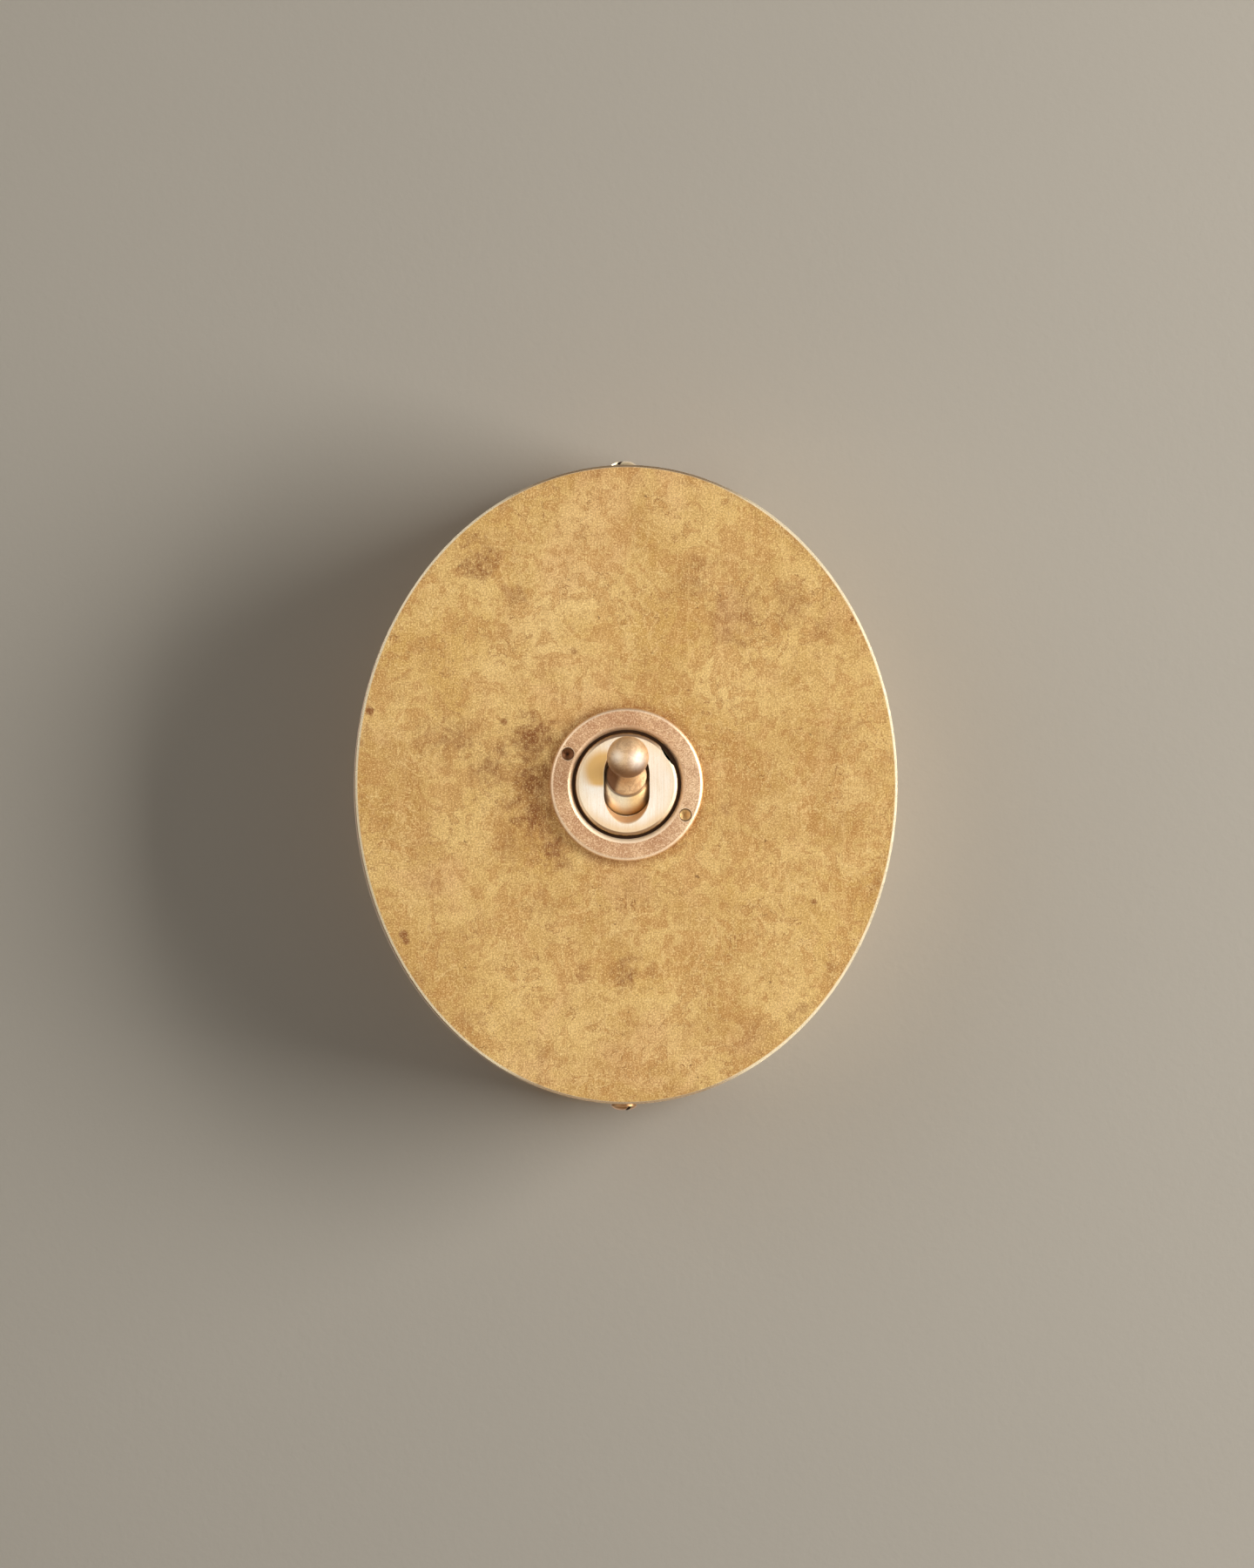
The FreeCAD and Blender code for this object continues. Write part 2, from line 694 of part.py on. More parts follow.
def make_fixed_contacts():
    """Two domed silver tips on the strips, just clear of the closed rivet."""
    back_y, at_z = moving_contact_back()
    dome_y = back_y + contact_gap
    edge = contact_dome_radius - math.sqrt(contact_dome_radius**2 - contact_radius**2)
    shape = turned([
        arc((0, dome_y),
            (contact_radius / 2, dome_y + contact_dome_radius
             - math.sqrt(contact_dome_radius**2 - (contact_radius / 2) ** 2)),
            (contact_radius, dome_y + edge)),
        line((contact_radius, dome_y + edge), (contact_radius, strip_front_y)),
        line((contact_radius, strip_front_y), (0, strip_front_y)),
        line((0, strip_front_y), (0, dome_y)),
    ])
    tips = []
    for side in (-1, 1):
        tip = shape.copy()
        tip.translate(V(0, 0, side * abs(at_z)))
        tips.append(tip)
    return Part.makeCompound(tips)


def body_screw_places():
    return [(body_screw_x, body_screw_z), (-body_screw_x, -body_screw_z)]


def countersink_profile(grow):
    """(radius, y) points of a countersunk screw, or of its hole when grown."""
    head = body_screw_head_radius + grow
    shank = body_screw_radius + grow
    end = floor_front_y + body_screw_bite + grow
    front = flange_front_y
    return [(0, front), (head, front), (shank, front + head - shank), (shank, end), (0, end)]


def make_body_screws():
    """Two countersunk screws that hold the flange, body and base together."""
    screws = []
    for turn, (x, z) in zip(body_screw_slot_turns, body_screw_places()):
        screw = turned_points(countersink_profile(0.0))
        cut = block((-body_screw_head_radius, body_screw_head_radius),
                    (flange_front_y - 1, flange_front_y + driver_slot_depth),
                    (-driver_slot_width / 2, driver_slot_width / 2))
        cut.rotate(V(0, 0, 0), BACK, turn)
        screw = screw.cut(cut)
        screw.translate(V(x, 0, z))
        screws.append(screw)
    return Part.makeCompound(screws)


def screw_bores(start_y, end_y):
    """The two plain holes for the body screws."""
    radius = body_screw_radius + body_screw_hole_clearance
    return [rod(radius, start_y, end_y, x, z) for x, z in body_screw_places()]


def make_switch_body():
    """The moulded body: a box with a round mouth and a cavity open to the base."""
    body = moulded_block((flange_back_y, floor_front_y))
    body = body.cut(rod(body_mouth_radius, flange_back_y - 1, cavity_front_y))
    body = body.cut(block((-cavity_half_width, cavity_half_width),
                          (cavity_front_y, floor_front_y + 1),
                          (-cavity_half_height, cavity_half_height)))
    for hole in screw_bores(flange_back_y - 1, floor_front_y + 1):
        body = body.cut(hole)
    return body


def terminal_heights():
    return {"upper": terminal_pitch, "common": 0.0, "lower": -terminal_pitch}


def make_terminal_base():
    """The moulded base: a floor, and three cells open to the back and to one side."""
    base = moulded_block((floor_front_y, base_back_y))
    half_z = terminal_height / 2 + cell_clearance
    half_x = terminal_width / 2 + cell_clearance
    for z in terminal_heights().values():
        base = base.cut(block((-half_x, body_half_width + 1), (floor_back_y, base_back_y + 1),
                              (z - half_z, z + half_z)))
        base = base.cut(rod(stub_radius + stub_clearance, floor_front_y - 1, floor_back_y + 1,
                            0, z))
    for hole in screw_bores(floor_front_y - 1, floor_front_y + body_screw_bite
                            + body_screw_hole_clearance):
        base = base.cut(hole)
    return base


def make_terminal(z):
    """A brass terminal: block, cross hole for the wire, tapped hole and staked stub."""
    half_x = terminal_width / 2
    half_z = terminal_height / 2
    body = block((-half_x, half_x), (floor_back_y, terminal_back_y), (-half_z, half_z))
    body = body.makeChamfer(terminal_edge, [e for e in body.Edges
                                            if e.BoundBox.YMin > terminal_back_y - 0.01])
    stub = rod(stub_radius, strip_front_y, floor_back_y)
    head = rod(stub_head_radius, strip_front_y - stub_head_thick, strip_front_y)
    body = body.multiFuse([stub, head])
    body = body.cut(Part.makeCylinder(wire_hole_radius, terminal_width + 2,
                                      V(-half_x - 1, wire_hole_y, 0), RIGHT))
    body = body.cut(rod(terminal_screw_radius + thread_clearance, wire_hole_y,
                        terminal_back_y + 1))
    body.translate(V(0, 0, z))
    return body


def make_terminal_screws():
    """Three slotted screws, backed off so that a wire can go in."""
    tip_y = wire_hole_y + wire_hole_radius
    head_y = terminal_back_y + terminal_screw_back_off
    end_y = head_y + terminal_screw_head_thick
    screws = []
    for turn, z in zip(terminal_screw_slot_turns, terminal_heights().values()):
        screw = rod(terminal_screw_radius, tip_y, head_y)
        screw = screw.fuse(rod(terminal_screw_head_radius, head_y, end_y)).removeSplitter()
        rim = [e for e in screw.Edges if e.BoundBox.YMin > end_y - 0.01]
        screw = screw.makeFillet(terminal_screw_edge_round, rim)
        cut = block((-terminal_screw_head_radius - 1, terminal_screw_head_radius + 1),
                    (end_y - driver_slot_depth, end_y + 1),
                    (-driver_slot_width / 2, driver_slot_width / 2))
        cut.rotate(V(0, 0, 0), BACK, turn)
        screw = screw.cut(cut)
        screw.translate(V(0, 0, z))
        screws.append(screw)
    return Part.makeCompound(screws)


def ear_face_z():
    """Height of the ear's outer face: clear of the oval band at the ear's corners."""
    share = math.sqrt(1 - (ear_half_width / inner_half_width) ** 2)
    return inner_half_height * share - ear_wall_clearance


def make_mounting_bracket():
    """A steel strap with folded ears, wall slots, a cable hole and an earth tapping."""
    top = ear_face_z()
    t = strap_thick
    inner = bend_radius
    outer = bend_radius + t
    k_in = inner * (1 - math.sqrt(0.5))
    k_out = outer * (1 - math.sqrt(0.5))

    def at(y, z):
        return V(0, y, z)

    def corner(side):
        s = side
        return [
            Part.Arc(at(0, s * (top - outer)), at(-k_out, s * (top - k_out)),
                     at(-outer, s * top)).toShape(),
            Part.makeLine(at(-outer, s * top), at(-ear_length, s * top)),
            Part.makeLine(at(-ear_length, s * top), at(-ear_length, s * (top - t))),
            Part.makeLine(at(-ear_length, s * (top - t)), at(-outer, s * (top - t))),
            Part.Arc(at(-outer, s * (top - t)), at(-t - k_in, s * (top - t - k_in)),
                     at(-t, s * (top - outer))).toShape(),
        ]

    upper = corner(1)
    lower = corner(-1)
    edges = upper + lower + [
        Part.makeLine(at(0, top - outer), at(0, outer - top)),
        Part.makeLine(at(-t, top - outer), at(-t, outer - top)),
    ]
    side_face = Part.Face(Part.Wire(Part.__sortEdges__(edges)))
    folded = side_face.extrude(RIGHT * (2 * strap_half_width))
    folded.translate(V(-strap_half_width, 0, 0))
    w = strap_half_width
    e = ear_half_width
    h = strap_shoulder_height
    run = strap_shoulder_run
    outline = [(w, -h), (w, h), (e, h + run), (e, top + 1), (-e, top + 1), (-e, h + run),
               (-w, h), (-w, -h), (-e, -h - run), (-e, -top - 1), (e, -top - 1), (e, -h - run)]
    points = [V(x, -ear_length - 1, z) for x, z in outline + outline[:1]]
    blank = Part.Face(Part.makePolygon(points)).extrude(BACK * (ear_length + 2))
    shoulders = [edge for edge in blank.Edges
                 if abs(edge.tangentAt(edge.FirstParameter).y) > 0.99
                 and abs(edge.BoundBox.ZMin) < h + run + 0.1]
    blank = blank.makeFillet(strap_corner_radius, shoulders)
    bracket = folded.common(blank)
    bracket = bracket.cut(rod(cable_hole_radius, -t - 1, 1))
    for s in (-1, 1):
        bracket = bracket.cut(stadium(wall_slot_width, wall_slot_length, -t - 1, 1,
                                      s * wall_slot_pitch / 2))
    bracket = bracket.cut(Part.makeCylinder(
        cover_screw_radius + thread_clearance, 2 * top + 2,
        V(0, -cover_screw_inset, -top - 1), UP))
    return bracket.cut(rod(earth_screw_radius + thread_clearance, -t - 1, 1, 0,
                           earth_screw_height))


def make_cover_screw(side):
    """A round-headed slotted screw, driven in through the band from above or below."""
    r = cover_screw_head_radius
    h = cover_screw_head_height
    edge = cover_screw_head_edge
    full = cover_screw_dome_fullness
    profile = [
        line((0, -cover_screw_length), (cover_screw_radius, -cover_screw_length)),
        line((cover_screw_radius, -cover_screw_length), (cover_screw_radius, 0)),
        line((cover_screw_radius, 0), (r, 0)),
        line((r, 0), (r, edge)),
        arc((r, edge), (full * r, edge + full * (h - edge)), (0, h)),
        line((0, h), (0, -cover_screw_length)),
    ]
    screw = turned(profile)
    cut = block((-r - 1, r + 1), (h - cover_screw_slot_depth, h + 1),
                (-cover_screw_slot_width / 2, cover_screw_slot_width / 2))
    cut.rotate(V(0, 0, 0), BACK, cover_screw_slot_turn)
    screw = screw.cut(cut)
    screw.rotate(V(0, 0, 0), RIGHT, 90)
    screw.translate(V(0, -cover_screw_inset, half_height))
    if side < 0:
        screw.rotate(V(0, -cover_screw_inset, 0), BACK, 180)
    return screw


def make_earth_washer():
    """The dished washer under the earth screw."""
    back = -strap_thick
    front = back - earth_washer_thick
    hole = earth_screw_radius + cover_screw_hole_clearance
    lip_y = front - earth_washer_lip
    washer = turned_points([
        (hole, back),
        (earth_washer_radius, back),
        (earth_washer_radius, lip_y),
        (earth_washer_radius - earth_washer_rim, lip_y),
        (earth_washer_radius - earth_washer_rim, front),
        (hole, front),
    ])
    washer.translate(V(0, 0, earth_screw_height))
    return washer


def make_earth_screw():
    """The pan-headed earth screw, tapped into the bracket."""
    seat = -strap_thick - earth_washer_thick
    top = seat - earth_screw_head_thick
    screw = rod(earth_screw_radius, seat, -earth_screw_tip_inset)
    screw = screw.fuse(rod(earth_screw_head_radius, top, seat)).removeSplitter()
    rim = [e for e in screw.Edges if e.BoundBox.YMax < top + 0.01]
    screw = screw.makeFillet(earth_screw_edge_round, rim)
    half = earth_screw_recess_width / 2
    for turn in (earth_screw_recess_turn, earth_screw_recess_turn + 90):
        cut = block((-half, half), (top - 1, top + earth_screw_recess_depth),
                    (-driver_slot_width / 2, driver_slot_width / 2))
        cut.rotate(V(0, 0, 0), BACK, turn)
        screw = screw.cut(cut)
    screw.translate(V(0, 0, earth_screw_height))
    return screw


def build():
    heights = terminal_heights()
    return {
        "cover": make_cover(),
        "ring_nut": make_ring_nut(),
        "bush": make_bush(),
        "lock_washer": make_lock_washer(),
        "rear_nut": make_rear_nut(),
        "dolly": make_dolly(),
        "pivot_pin": make_pivot_pin(),
        "actuator": make_actuator(),
        "plunger": make_plunger(),
        "plunger_spring": make_plunger_spring(),
        "rocker": make_rocker(),
        "moving_contacts": make_moving_contacts(),
        "common_saddle": make_common_saddle(),
        "upper_contact_strip": make_contact_strip(1),
        "lower_contact_strip": make_contact_strip(-1),
        "fixed_contacts": make_fixed_contacts(),
        "switch_body": make_switch_body(),
        "terminal_base": make_terminal_base(),
        "body_screws": make_body_screws(),
        "common_terminal": make_terminal(heights["common"]),
        "upper_terminal": make_terminal(heights["upper"]),
        "lower_terminal": make_terminal(heights["lower"]),
        "terminal_screws": make_terminal_screws(),
        "mounting_bracket": make_mounting_bracket(),
        "top_cover_screw": make_cover_screw(1),
        "bottom_cover_screw": make_cover_screw(-1),
        "earth_washer": make_earth_washer(),
        "earth_screw": make_earth_screw(),
    }


os.makedirs("parts", exist_ok=True)
for name, shape in build().items():
    if not shape.isValid():
        print("not valid:", name)
    shape.exportStep(os.path.join("parts", name + ".step"))
    print(name, len(shape.Solids), "solid(s)", round(shape.Volume, 1), "mm3")
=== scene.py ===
import json
import math

import bpy
import numpy as np
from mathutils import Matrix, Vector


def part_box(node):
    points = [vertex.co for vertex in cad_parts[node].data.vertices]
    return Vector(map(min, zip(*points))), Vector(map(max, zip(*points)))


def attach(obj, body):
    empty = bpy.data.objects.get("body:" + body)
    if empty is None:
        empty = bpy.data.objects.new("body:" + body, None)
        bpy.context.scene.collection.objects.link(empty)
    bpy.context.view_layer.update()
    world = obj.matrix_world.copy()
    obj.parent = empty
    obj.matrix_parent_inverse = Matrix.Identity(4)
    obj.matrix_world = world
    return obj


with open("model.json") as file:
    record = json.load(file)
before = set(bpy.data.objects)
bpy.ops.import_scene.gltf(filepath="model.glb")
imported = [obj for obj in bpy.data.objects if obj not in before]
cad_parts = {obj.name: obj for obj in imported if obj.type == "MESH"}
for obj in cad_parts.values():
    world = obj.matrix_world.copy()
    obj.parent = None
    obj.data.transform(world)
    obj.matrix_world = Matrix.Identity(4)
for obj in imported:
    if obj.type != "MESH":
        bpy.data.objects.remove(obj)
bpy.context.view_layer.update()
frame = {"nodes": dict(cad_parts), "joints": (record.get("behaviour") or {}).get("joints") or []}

nodes = frame["nodes"]

# Wall bracket: a strap folded from 2 mm steel strip, blanked with its wall slots and cable
# hole and then zinc plated. The plating is a cool grey, faintly clouded, and duller where
# the strip was rolled. Its punched edges stay a little brighter than its faces.


def paint(red, green, blue):
    """A colour given as the eye sees it, 0 to 255, as the linear values that shaders use."""
    seen = np.array([red, green, blue]) / 255
    linear = np.where(seen < 0.04045, seen / 12.92, ((seen + 0.055) / 1.055) ** 2.4)
    return (*linear, 1.0)


def put(tree, kind, inputs=None, **settings):
    """Adds a node of that kind. An input takes either a plain value or another node's output."""
    node = tree.nodes.new(kind)
    for key, value in settings.items():
        setattr(node, key, value)
    for key, value in (inputs or {}).items():
        if isinstance(value, bpy.types.NodeSocket):
            tree.links.new(value, node.inputs[key])
        else:
            node.inputs[key].default_value = value
    return node


def work_out(tree, operation, *values, clamp=False):
    """One step of arithmetic on node outputs and numbers."""
    inputs = dict(enumerate(values))
    return put(tree, "ShaderNodeMath", inputs, operation=operation, use_clamp=clamp).outputs[0]


def times(tree, first, second):
    """One value multiplied by another."""
    return work_out(tree, "MULTIPLY", first, second)


def add_up(tree, total, *parts):
    """A total to which each mask adds its own share."""
    for mask, share in parts:
        total = work_out(tree, "MULTIPLY_ADD", mask, share, total)
    return total


def ease(tree, value, start, end, low=0.0, high=1.0):
    """Goes smoothly from low to high while value goes from start to end."""
    inputs = {"Value": value, "From Min": start, "From Max": end, "To Min": low, "To Max": high}
    return put(tree, "ShaderNodeMapRange", inputs, interpolation_type="SMOOTHSTEP").outputs[0]


def tint(tree, amount, under, over):
    """Lays one colour over another by an amount from 0 to 1."""
    inputs = {0: amount, 6: under, 7: over}
    return put(tree, "ShaderNodeMix", inputs, data_type="RGBA", clamp_result=True).outputs[2]


def coat(tree, colour, *coats):
    """Lays coats over a colour in turn, each given by its mask, its strength and its colour."""
    for mask, strength, over in coats:
        colour = tint(tree, times(tree, mask, strength), colour, over)
    return colour


def noise(tree, where, scale, detail=2.0, roughness=0.5, distortion=0.0):
    """Cloudy noise between 0 and 1, with that many features to the metre."""
    inputs = {"Vector": where, "Scale": scale, "Detail": detail, "Roughness": roughness,
              "Distortion": distortion}
    return put(tree, "ShaderNodeTexNoise", inputs).outputs[0]


def effect(name, inputs, outputs):
    """An empty node group with its own inputs and outputs, and its two end nodes."""
    group = bpy.data.node_groups.new(name, "ShaderNodeTree")
    for label, kind, value in inputs:
        socket = group.interface.new_socket(label, in_out="INPUT", socket_type="NodeSocket" + kind)
        if value is not None:
            socket.default_value = value
    for label, kind in outputs:
        group.interface.new_socket(label, in_out="OUTPUT", socket_type="NodeSocket" + kind)
    return group, group.nodes.new("NodeGroupInput"), group.nodes.new("NodeGroupOutput")


def lay(tree, group, inputs):
    """Places an effect in a material, with its own values."""
    return put(tree, "ShaderNodeGroup", inputs, node_tree=group)


def edge_rub_effect():
    """Finds edges: the more a rounded edge's normal turns from the true one, the nearer to 1."""
    inputs = [("Radius", "Float", 0.0003), ("Reach", "Float", 0.12)]
    group, given, result = effect("edge rub", inputs, [("Edge", "Float")])
    rounded = put(group, "ShaderNodeBevel", {"Radius": given.outputs["Radius"]}, samples=6)
    true = put(group, "ShaderNodeNewGeometry")
    same = put(group, "ShaderNodeVectorMath", {0: rounded.outputs[0], 1: true.outputs["Normal"]},
               operation="DOT_PRODUCT").outputs["Value"]
    turned = work_out(group, "SUBTRACT", 1.0, same)
    group.links.new(ease(group, turned, 0.0, given.outputs["Reach"]), result.inputs["Edge"])
    return group


def rolled_lines_effect():
    """Fine lines along Z, of uneven strength: noise squeezed across and drawn out along."""
    inputs = [("Vector", "Vector", None), ("Across", "Float", 6000.0), ("Along", "Float", 160.0)]
    group, given, result = effect("rolled lines", inputs, [("Lines", "Float")])
    stretch = put(group, "ShaderNodeCombineXYZ", {0: given.outputs["Across"],
                                                  1: given.outputs["Across"],
                                                  2: given.outputs["Along"]})
    where = put(group, "ShaderNodeVectorMath", {0: given.outputs["Vector"], 1: stretch.outputs[0]},
                operation="MULTIPLY").outputs[0]
    fine = noise(group, where, 1.0, 2.0)
    broad = noise(group, where, 0.23, 1.0)
    both = add_up(group, 0.0, (broad, 0.35), (fine, 0.65))
    group.links.new(both, result.inputs["Lines"])
    return group


edge_rub = edge_rub_effect()
rolled_lines = rolled_lines_effect()


def finish_for(name, roughness, metallic=1.0, **sockets):
    """A new material, with its shader and the piece's own coordinates."""
    material = bpy.data.materials.new(name)
    material.use_nodes = True
    tree = material.node_tree
    shader = tree.nodes["Principled BSDF"]
    shader.inputs["Roughness"].default_value = roughness
    shader.inputs["Metallic"].default_value = metallic
    for key, value in sockets.items():
        shader.inputs[key.replace("_", " ")].default_value = value
    where = put(tree, "ShaderNodeTexCoord").outputs["Object"]
    return material, tree, shader, where


def colour_and_relief(tree, shader, colour, roughness, height, depth, strength=1.0):
    """Joins the worked-out colour, roughness and relief to the shader. Depth is in metres."""
    tree.links.new(colour, shader.inputs["Base Color"])
    tree.links.new(roughness, shader.inputs["Roughness"])
    bump = put(tree, "ShaderNodeBump", {"Height": height, "Distance": depth, "Strength": strength})
    tree.links.new(bump.outputs[0], shader.inputs["Normal"])


def dress(node_name, material):
    """Puts a material on a frame node in place of its plain one."""
    slots = nodes[node_name].data.materials
    slots.clear()
    slots.append(material)


def plated_steel(name, light, dark, roughness, edge_radius):
    """Zinc or nickel plating: two greys in soft clouds, rolled lines and brighter edges."""
    material, tree, shader, where = finish_for(name, roughness)
    clouds = ease(tree, noise(tree, where, 140.0, 4.0, 0.6, 0.4), 0.35, 0.68)
    lines = lay(tree, rolled_lines, {"Vector": where}).outputs["Lines"]
    edge = lay(tree, edge_rub, {"Radius": edge_radius}).outputs["Edge"]
    grain = noise(tree, where, 2600.0, 3.0, 0.65)
    colour = coat(tree, tint(tree, clouds, light, dark),
                  (lines, 0.22, paint(120, 122, 126)),
                  (edge, 0.6, paint(236, 236, 234)))
    rough = add_up(tree, roughness - 0.05, (clouds, 0.1), (grain, 0.12), (edge, -0.12))
    height = add_up(tree, 0.0, (lines, 0.8), (grain, 0.6))
    colour_and_relief(tree, shader, colour, rough, height, 0.000012)
    return material


bracket_steel = plated_steel("bracket_steel", paint(196, 199, 203), paint(160, 165, 172), 0.36,
                             0.0006)
dress("mounting_bracket", bracket_steel)

# Earth terminal: a brass pan-headed screw and cup washer in the foot of the bracket. Both
# are turned, and darkened in their corners by age and flux.


def tarnish_effect():
    """Aged brass in layers: clouds, islands with an outline, pale veins, grain and specks."""
    inputs = [("Vector", "Vector", None), ("Size", "Float", 1.0)]
    outputs = [(name, "Float") for name in ("Clouds", "Islands", "Outlines", "Shores",
                                         "Veins", "Grain", "Specks")]
    group, given, result = effect("tarnish", inputs, outputs)
    where = put(group, "ShaderNodeVectorMath", {0: given.outputs["Vector"],
                                                3: given.outputs["Size"]},
                operation="SCALE").outputs[0]
    clouds = noise(group, where, 62.0, 4.0, 0.62, 0.5)
    coarse = noise(group, where, 155.0, 2.0, 0.55, 1.1)
    patchy = noise(group, where, 400.0, 3.0, 0.55, 0.9)
    islands = add_up(group, 0.0, (coarse, 0.58), (patchy, 0.42))
    some = ease(group, noise(group, where, 95.0, 2.0), 0.44, 0.6)
    lines = []
    for level, width in ((0.532, 0.0068), (0.516, 0.010)):
        away = work_out(group, "ABSOLUTE", work_out(group, "SUBTRACT", islands, level))
        lines.append(times(group, ease(group, away, 0.0, width, 1.0, 0.0), some))
    winding = noise(group, where, 210.0, 2.0, 0.5, 1.6)
    off_line = work_out(group, "ABSOLUTE", work_out(group, "SUBTRACT", winding, 0.5))
    broken = ease(group, noise(group, where, 130.0, 2.0), 0.42, 0.58)
    veins = times(group, ease(group, off_line, 0.0, 0.045, 1.0, 0.0), broken)
    grain = noise(group, where, 3300.0, 2.0, 0.8)
    specks = ease(group, noise(group, where, 700.0, 1.0), 0.745, 0.79)
    for label, value in (("Clouds", ease(group, clouds, 0.3, 0.72)),
                         ("Islands", ease(group, islands, 0.500, 0.566)),
                         ("Outlines", lines[0]), ("Shores", lines[1]), ("Veins", veins),
                         ("Grain", grain), ("Specks", specks)):
        group.links.new(value, result.inputs[label])
    return group


tarnish = tarnish_effect()


def old_brass(name, bright, worn, dark, roughness, size, edge_radius):
    """Small turned brass pieces: tarnish at their own scale, with bright rubbed edges."""
    material, tree, shader, where = finish_for(name, roughness)
    layers = lay(tree, tarnish, {"Vector": where, "Size": size}).outputs
    edge = lay(tree, edge_rub, {"Radius": edge_radius}).outputs["Edge"]
    colour = coat(tree, tint(tree, layers["Clouds"], bright, worn),
                  (layers["Islands"], 0.5, dark),
                  (ease(tree, layers["Grain"], 0.3, 0.7), 0.22, dark),
                  (edge, 0.7, paint(250, 226, 176)))
    rough = add_up(tree, roughness - 0.08, (layers["Grain"], 0.16), (layers["Islands"], 0.08),
                   (edge, -0.1))
    height = add_up(tree, layers["Grain"], (layers["Islands"], -0.3))
    colour_and_relief(tree, shader, colour, rough, height, 0.000012)
    return material


screw_brass = old_brass("screw_brass", paint(236, 204, 150), paint(206, 164, 108),
                        paint(122, 80, 42), 0.34, 3.0, 0.0002)
nut_brass = old_brass("nut_brass", paint(226, 190, 124), paint(202, 158, 92),
                      paint(140, 98, 54), 0.38, 2.0, 0.0004)
dress("earth_screw", nut_brass)
dress("earth_washer", nut_brass)

# Terminal base and switch body: two mouldings in dark brown thermoset, with its slight
# orange peel, pale filler specks and a polish that the tool left.


def thermoset(name, colour_light, colour_dark, roughness):
    """A brown moulding: clouded resin, filler specks and edges rubbed a little paler."""
    material, tree, shader, where = finish_for(name, roughness, metallic=0.0, Coat_Weight=0.25,
                                               Coat_Roughness=0.22)
    clouds = ease(tree, noise(tree, where, 180.0, 5.0, 0.6, 1.4), 0.34, 0.66)
    specks = ease(tree, noise(tree, where, 1900.0, 1.0), 0.66, 0.76)
    peel = noise(tree, where, 900.0, 2.0)
    edge = lay(tree, edge_rub, {"Radius": 0.0005}).outputs["Edge"]
    colour = coat(tree, tint(tree, clouds, colour_dark, colour_light),
                  (specks, 0.35, paint(128, 98, 72)),
                  (edge, 0.28, paint(132, 100, 78)))
    rough = add_up(tree, roughness - 0.04, (clouds, 0.12), (specks, 0.1))
    colour_and_relief(tree, shader, colour, rough, peel, 0.00003, 0.6)
    return material


dress("terminal_base", thermoset("base_moulding", paint(66, 46, 38), paint(46, 33, 28), 0.42))
dress("switch_body", thermoset("body_moulding", paint(58, 41, 34), paint(40, 29, 25), 0.38))

# Terminals: brass blocks pushed into their cells from behind, each with a nickel-plated
# screw that is backed off, ready for its wire.

terminal_brass = old_brass("turned_brass", paint(234, 200, 134), paint(214, 172, 104),
                           paint(160, 116, 66), 0.33, 2.5, 0.0003)
for name in ("common_terminal", "upper_terminal", "lower_terminal", "plunger"):
    dress(name, terminal_brass)
dress("terminal_screws", plated_steel("terminal_steel", paint(214, 212, 206),
                                      paint(180, 178, 172), 0.28, 0.00025))

# Contacts: strips and a rocker pressed from rolled brass, with silver tips that are riveted
# or brazed on. The silver is bright in the middle and yellowed at its rim.

contact_brass = old_brass("contact_brass", paint(236, 202, 132), paint(214, 170, 98),
                          paint(166, 118, 62), 0.3, 3.0, 0.0002)
for name in ("common_saddle", "upper_contact_strip", "lower_contact_strip", "rocker"):
    dress(name, contact_brass)
silver = plated_steel("silver", paint(232, 230, 224), paint(206, 202, 190), 0.24, 0.0002)
for name in ("fixed_contacts", "moving_contacts"):
    dress(name, silver)

# Actuator, plunger spring and pins: natural nylon, hard-drawn wire and ground steel. They
# are closed in by the body, and only the spring's wire and the pin's ends come near light.


def nylon_finish():
    """Milky nylon: light passes a little way in, and fine machining lines cross it."""
    material, tree, shader, where = finish_for("nylon", 0.42, metallic=0.0,
                                               Subsurface_Weight=0.25, Subsurface_Scale=0.0006)
    milk = ease(tree, noise(tree, where, 300.0, 3.0), 0.3, 0.7)
    lines = lay(tree, rolled_lines, {"Vector": where, "Across": 3000.0}).outputs["Lines"]
    colour = tint(tree, milk, paint(232, 228, 214), paint(218, 212, 194))
    rough = add_up(tree, 0.34, (lines, 0.15))
    colour_and_relief(tree, shader, colour, rough, lines, 0.00001)
    return material


dress("actuator", nylon_finish())
dress("plunger_spring", plated_steel("spring_steel", paint(150, 152, 156), paint(112, 114, 120),
                                     0.3, 0.0001))
dress("pivot_pin", plated_steel("pin_steel", paint(206, 208, 210), paint(176, 178, 182), 0.22,
                                0.0002))
zinc_steel = plated_steel("zinc_steel", paint(204, 206, 208), paint(168, 172, 178), 0.34, 0.0003)
dress("body_screws", zinc_steel)
dress("lock_washer", zinc_steel)
dress("rear_nut", nut_brass)

# Dolly: ball, waisted neck, flared foot and pivot ball turned from one brass bar and
# polished with a fine mop, which leaves faint rings round its axis. Handling has kept the
# ball's crown pale and the neck has browned. Painted shadow darkens the neck's left side,
# the ball's underside and a line under the foot's rim, two painted reflections and a faint
# dark band between them lie on the ball, and the pivot ball is painted paler on its left
# as a highlight.

dolly_tilt = math.radians(15.0)
pivot = next(j for j in frame["joints"] if j["name"] == "dolly")["pos_m"]
ball_reach = 0.0198
ball_radius = 0.004
foot_reach = 0.00605
neck_fades_from = 0.0140
neck_fades_to = 0.0182
neck_shadow_edge = -0.0016
neck_shadow_lean = 0.29
turning_rings = 9000.0
# Each of the ball's painted reflections: x, z, size, strength and colour.
painted_reflection_places = [(0.0018, 0.0045, 0.0028, 0.65, paint(222, 216, 212)),
                  (-0.0021, 0.0052, 0.0019, 0.55, paint(248, 240, 228))]


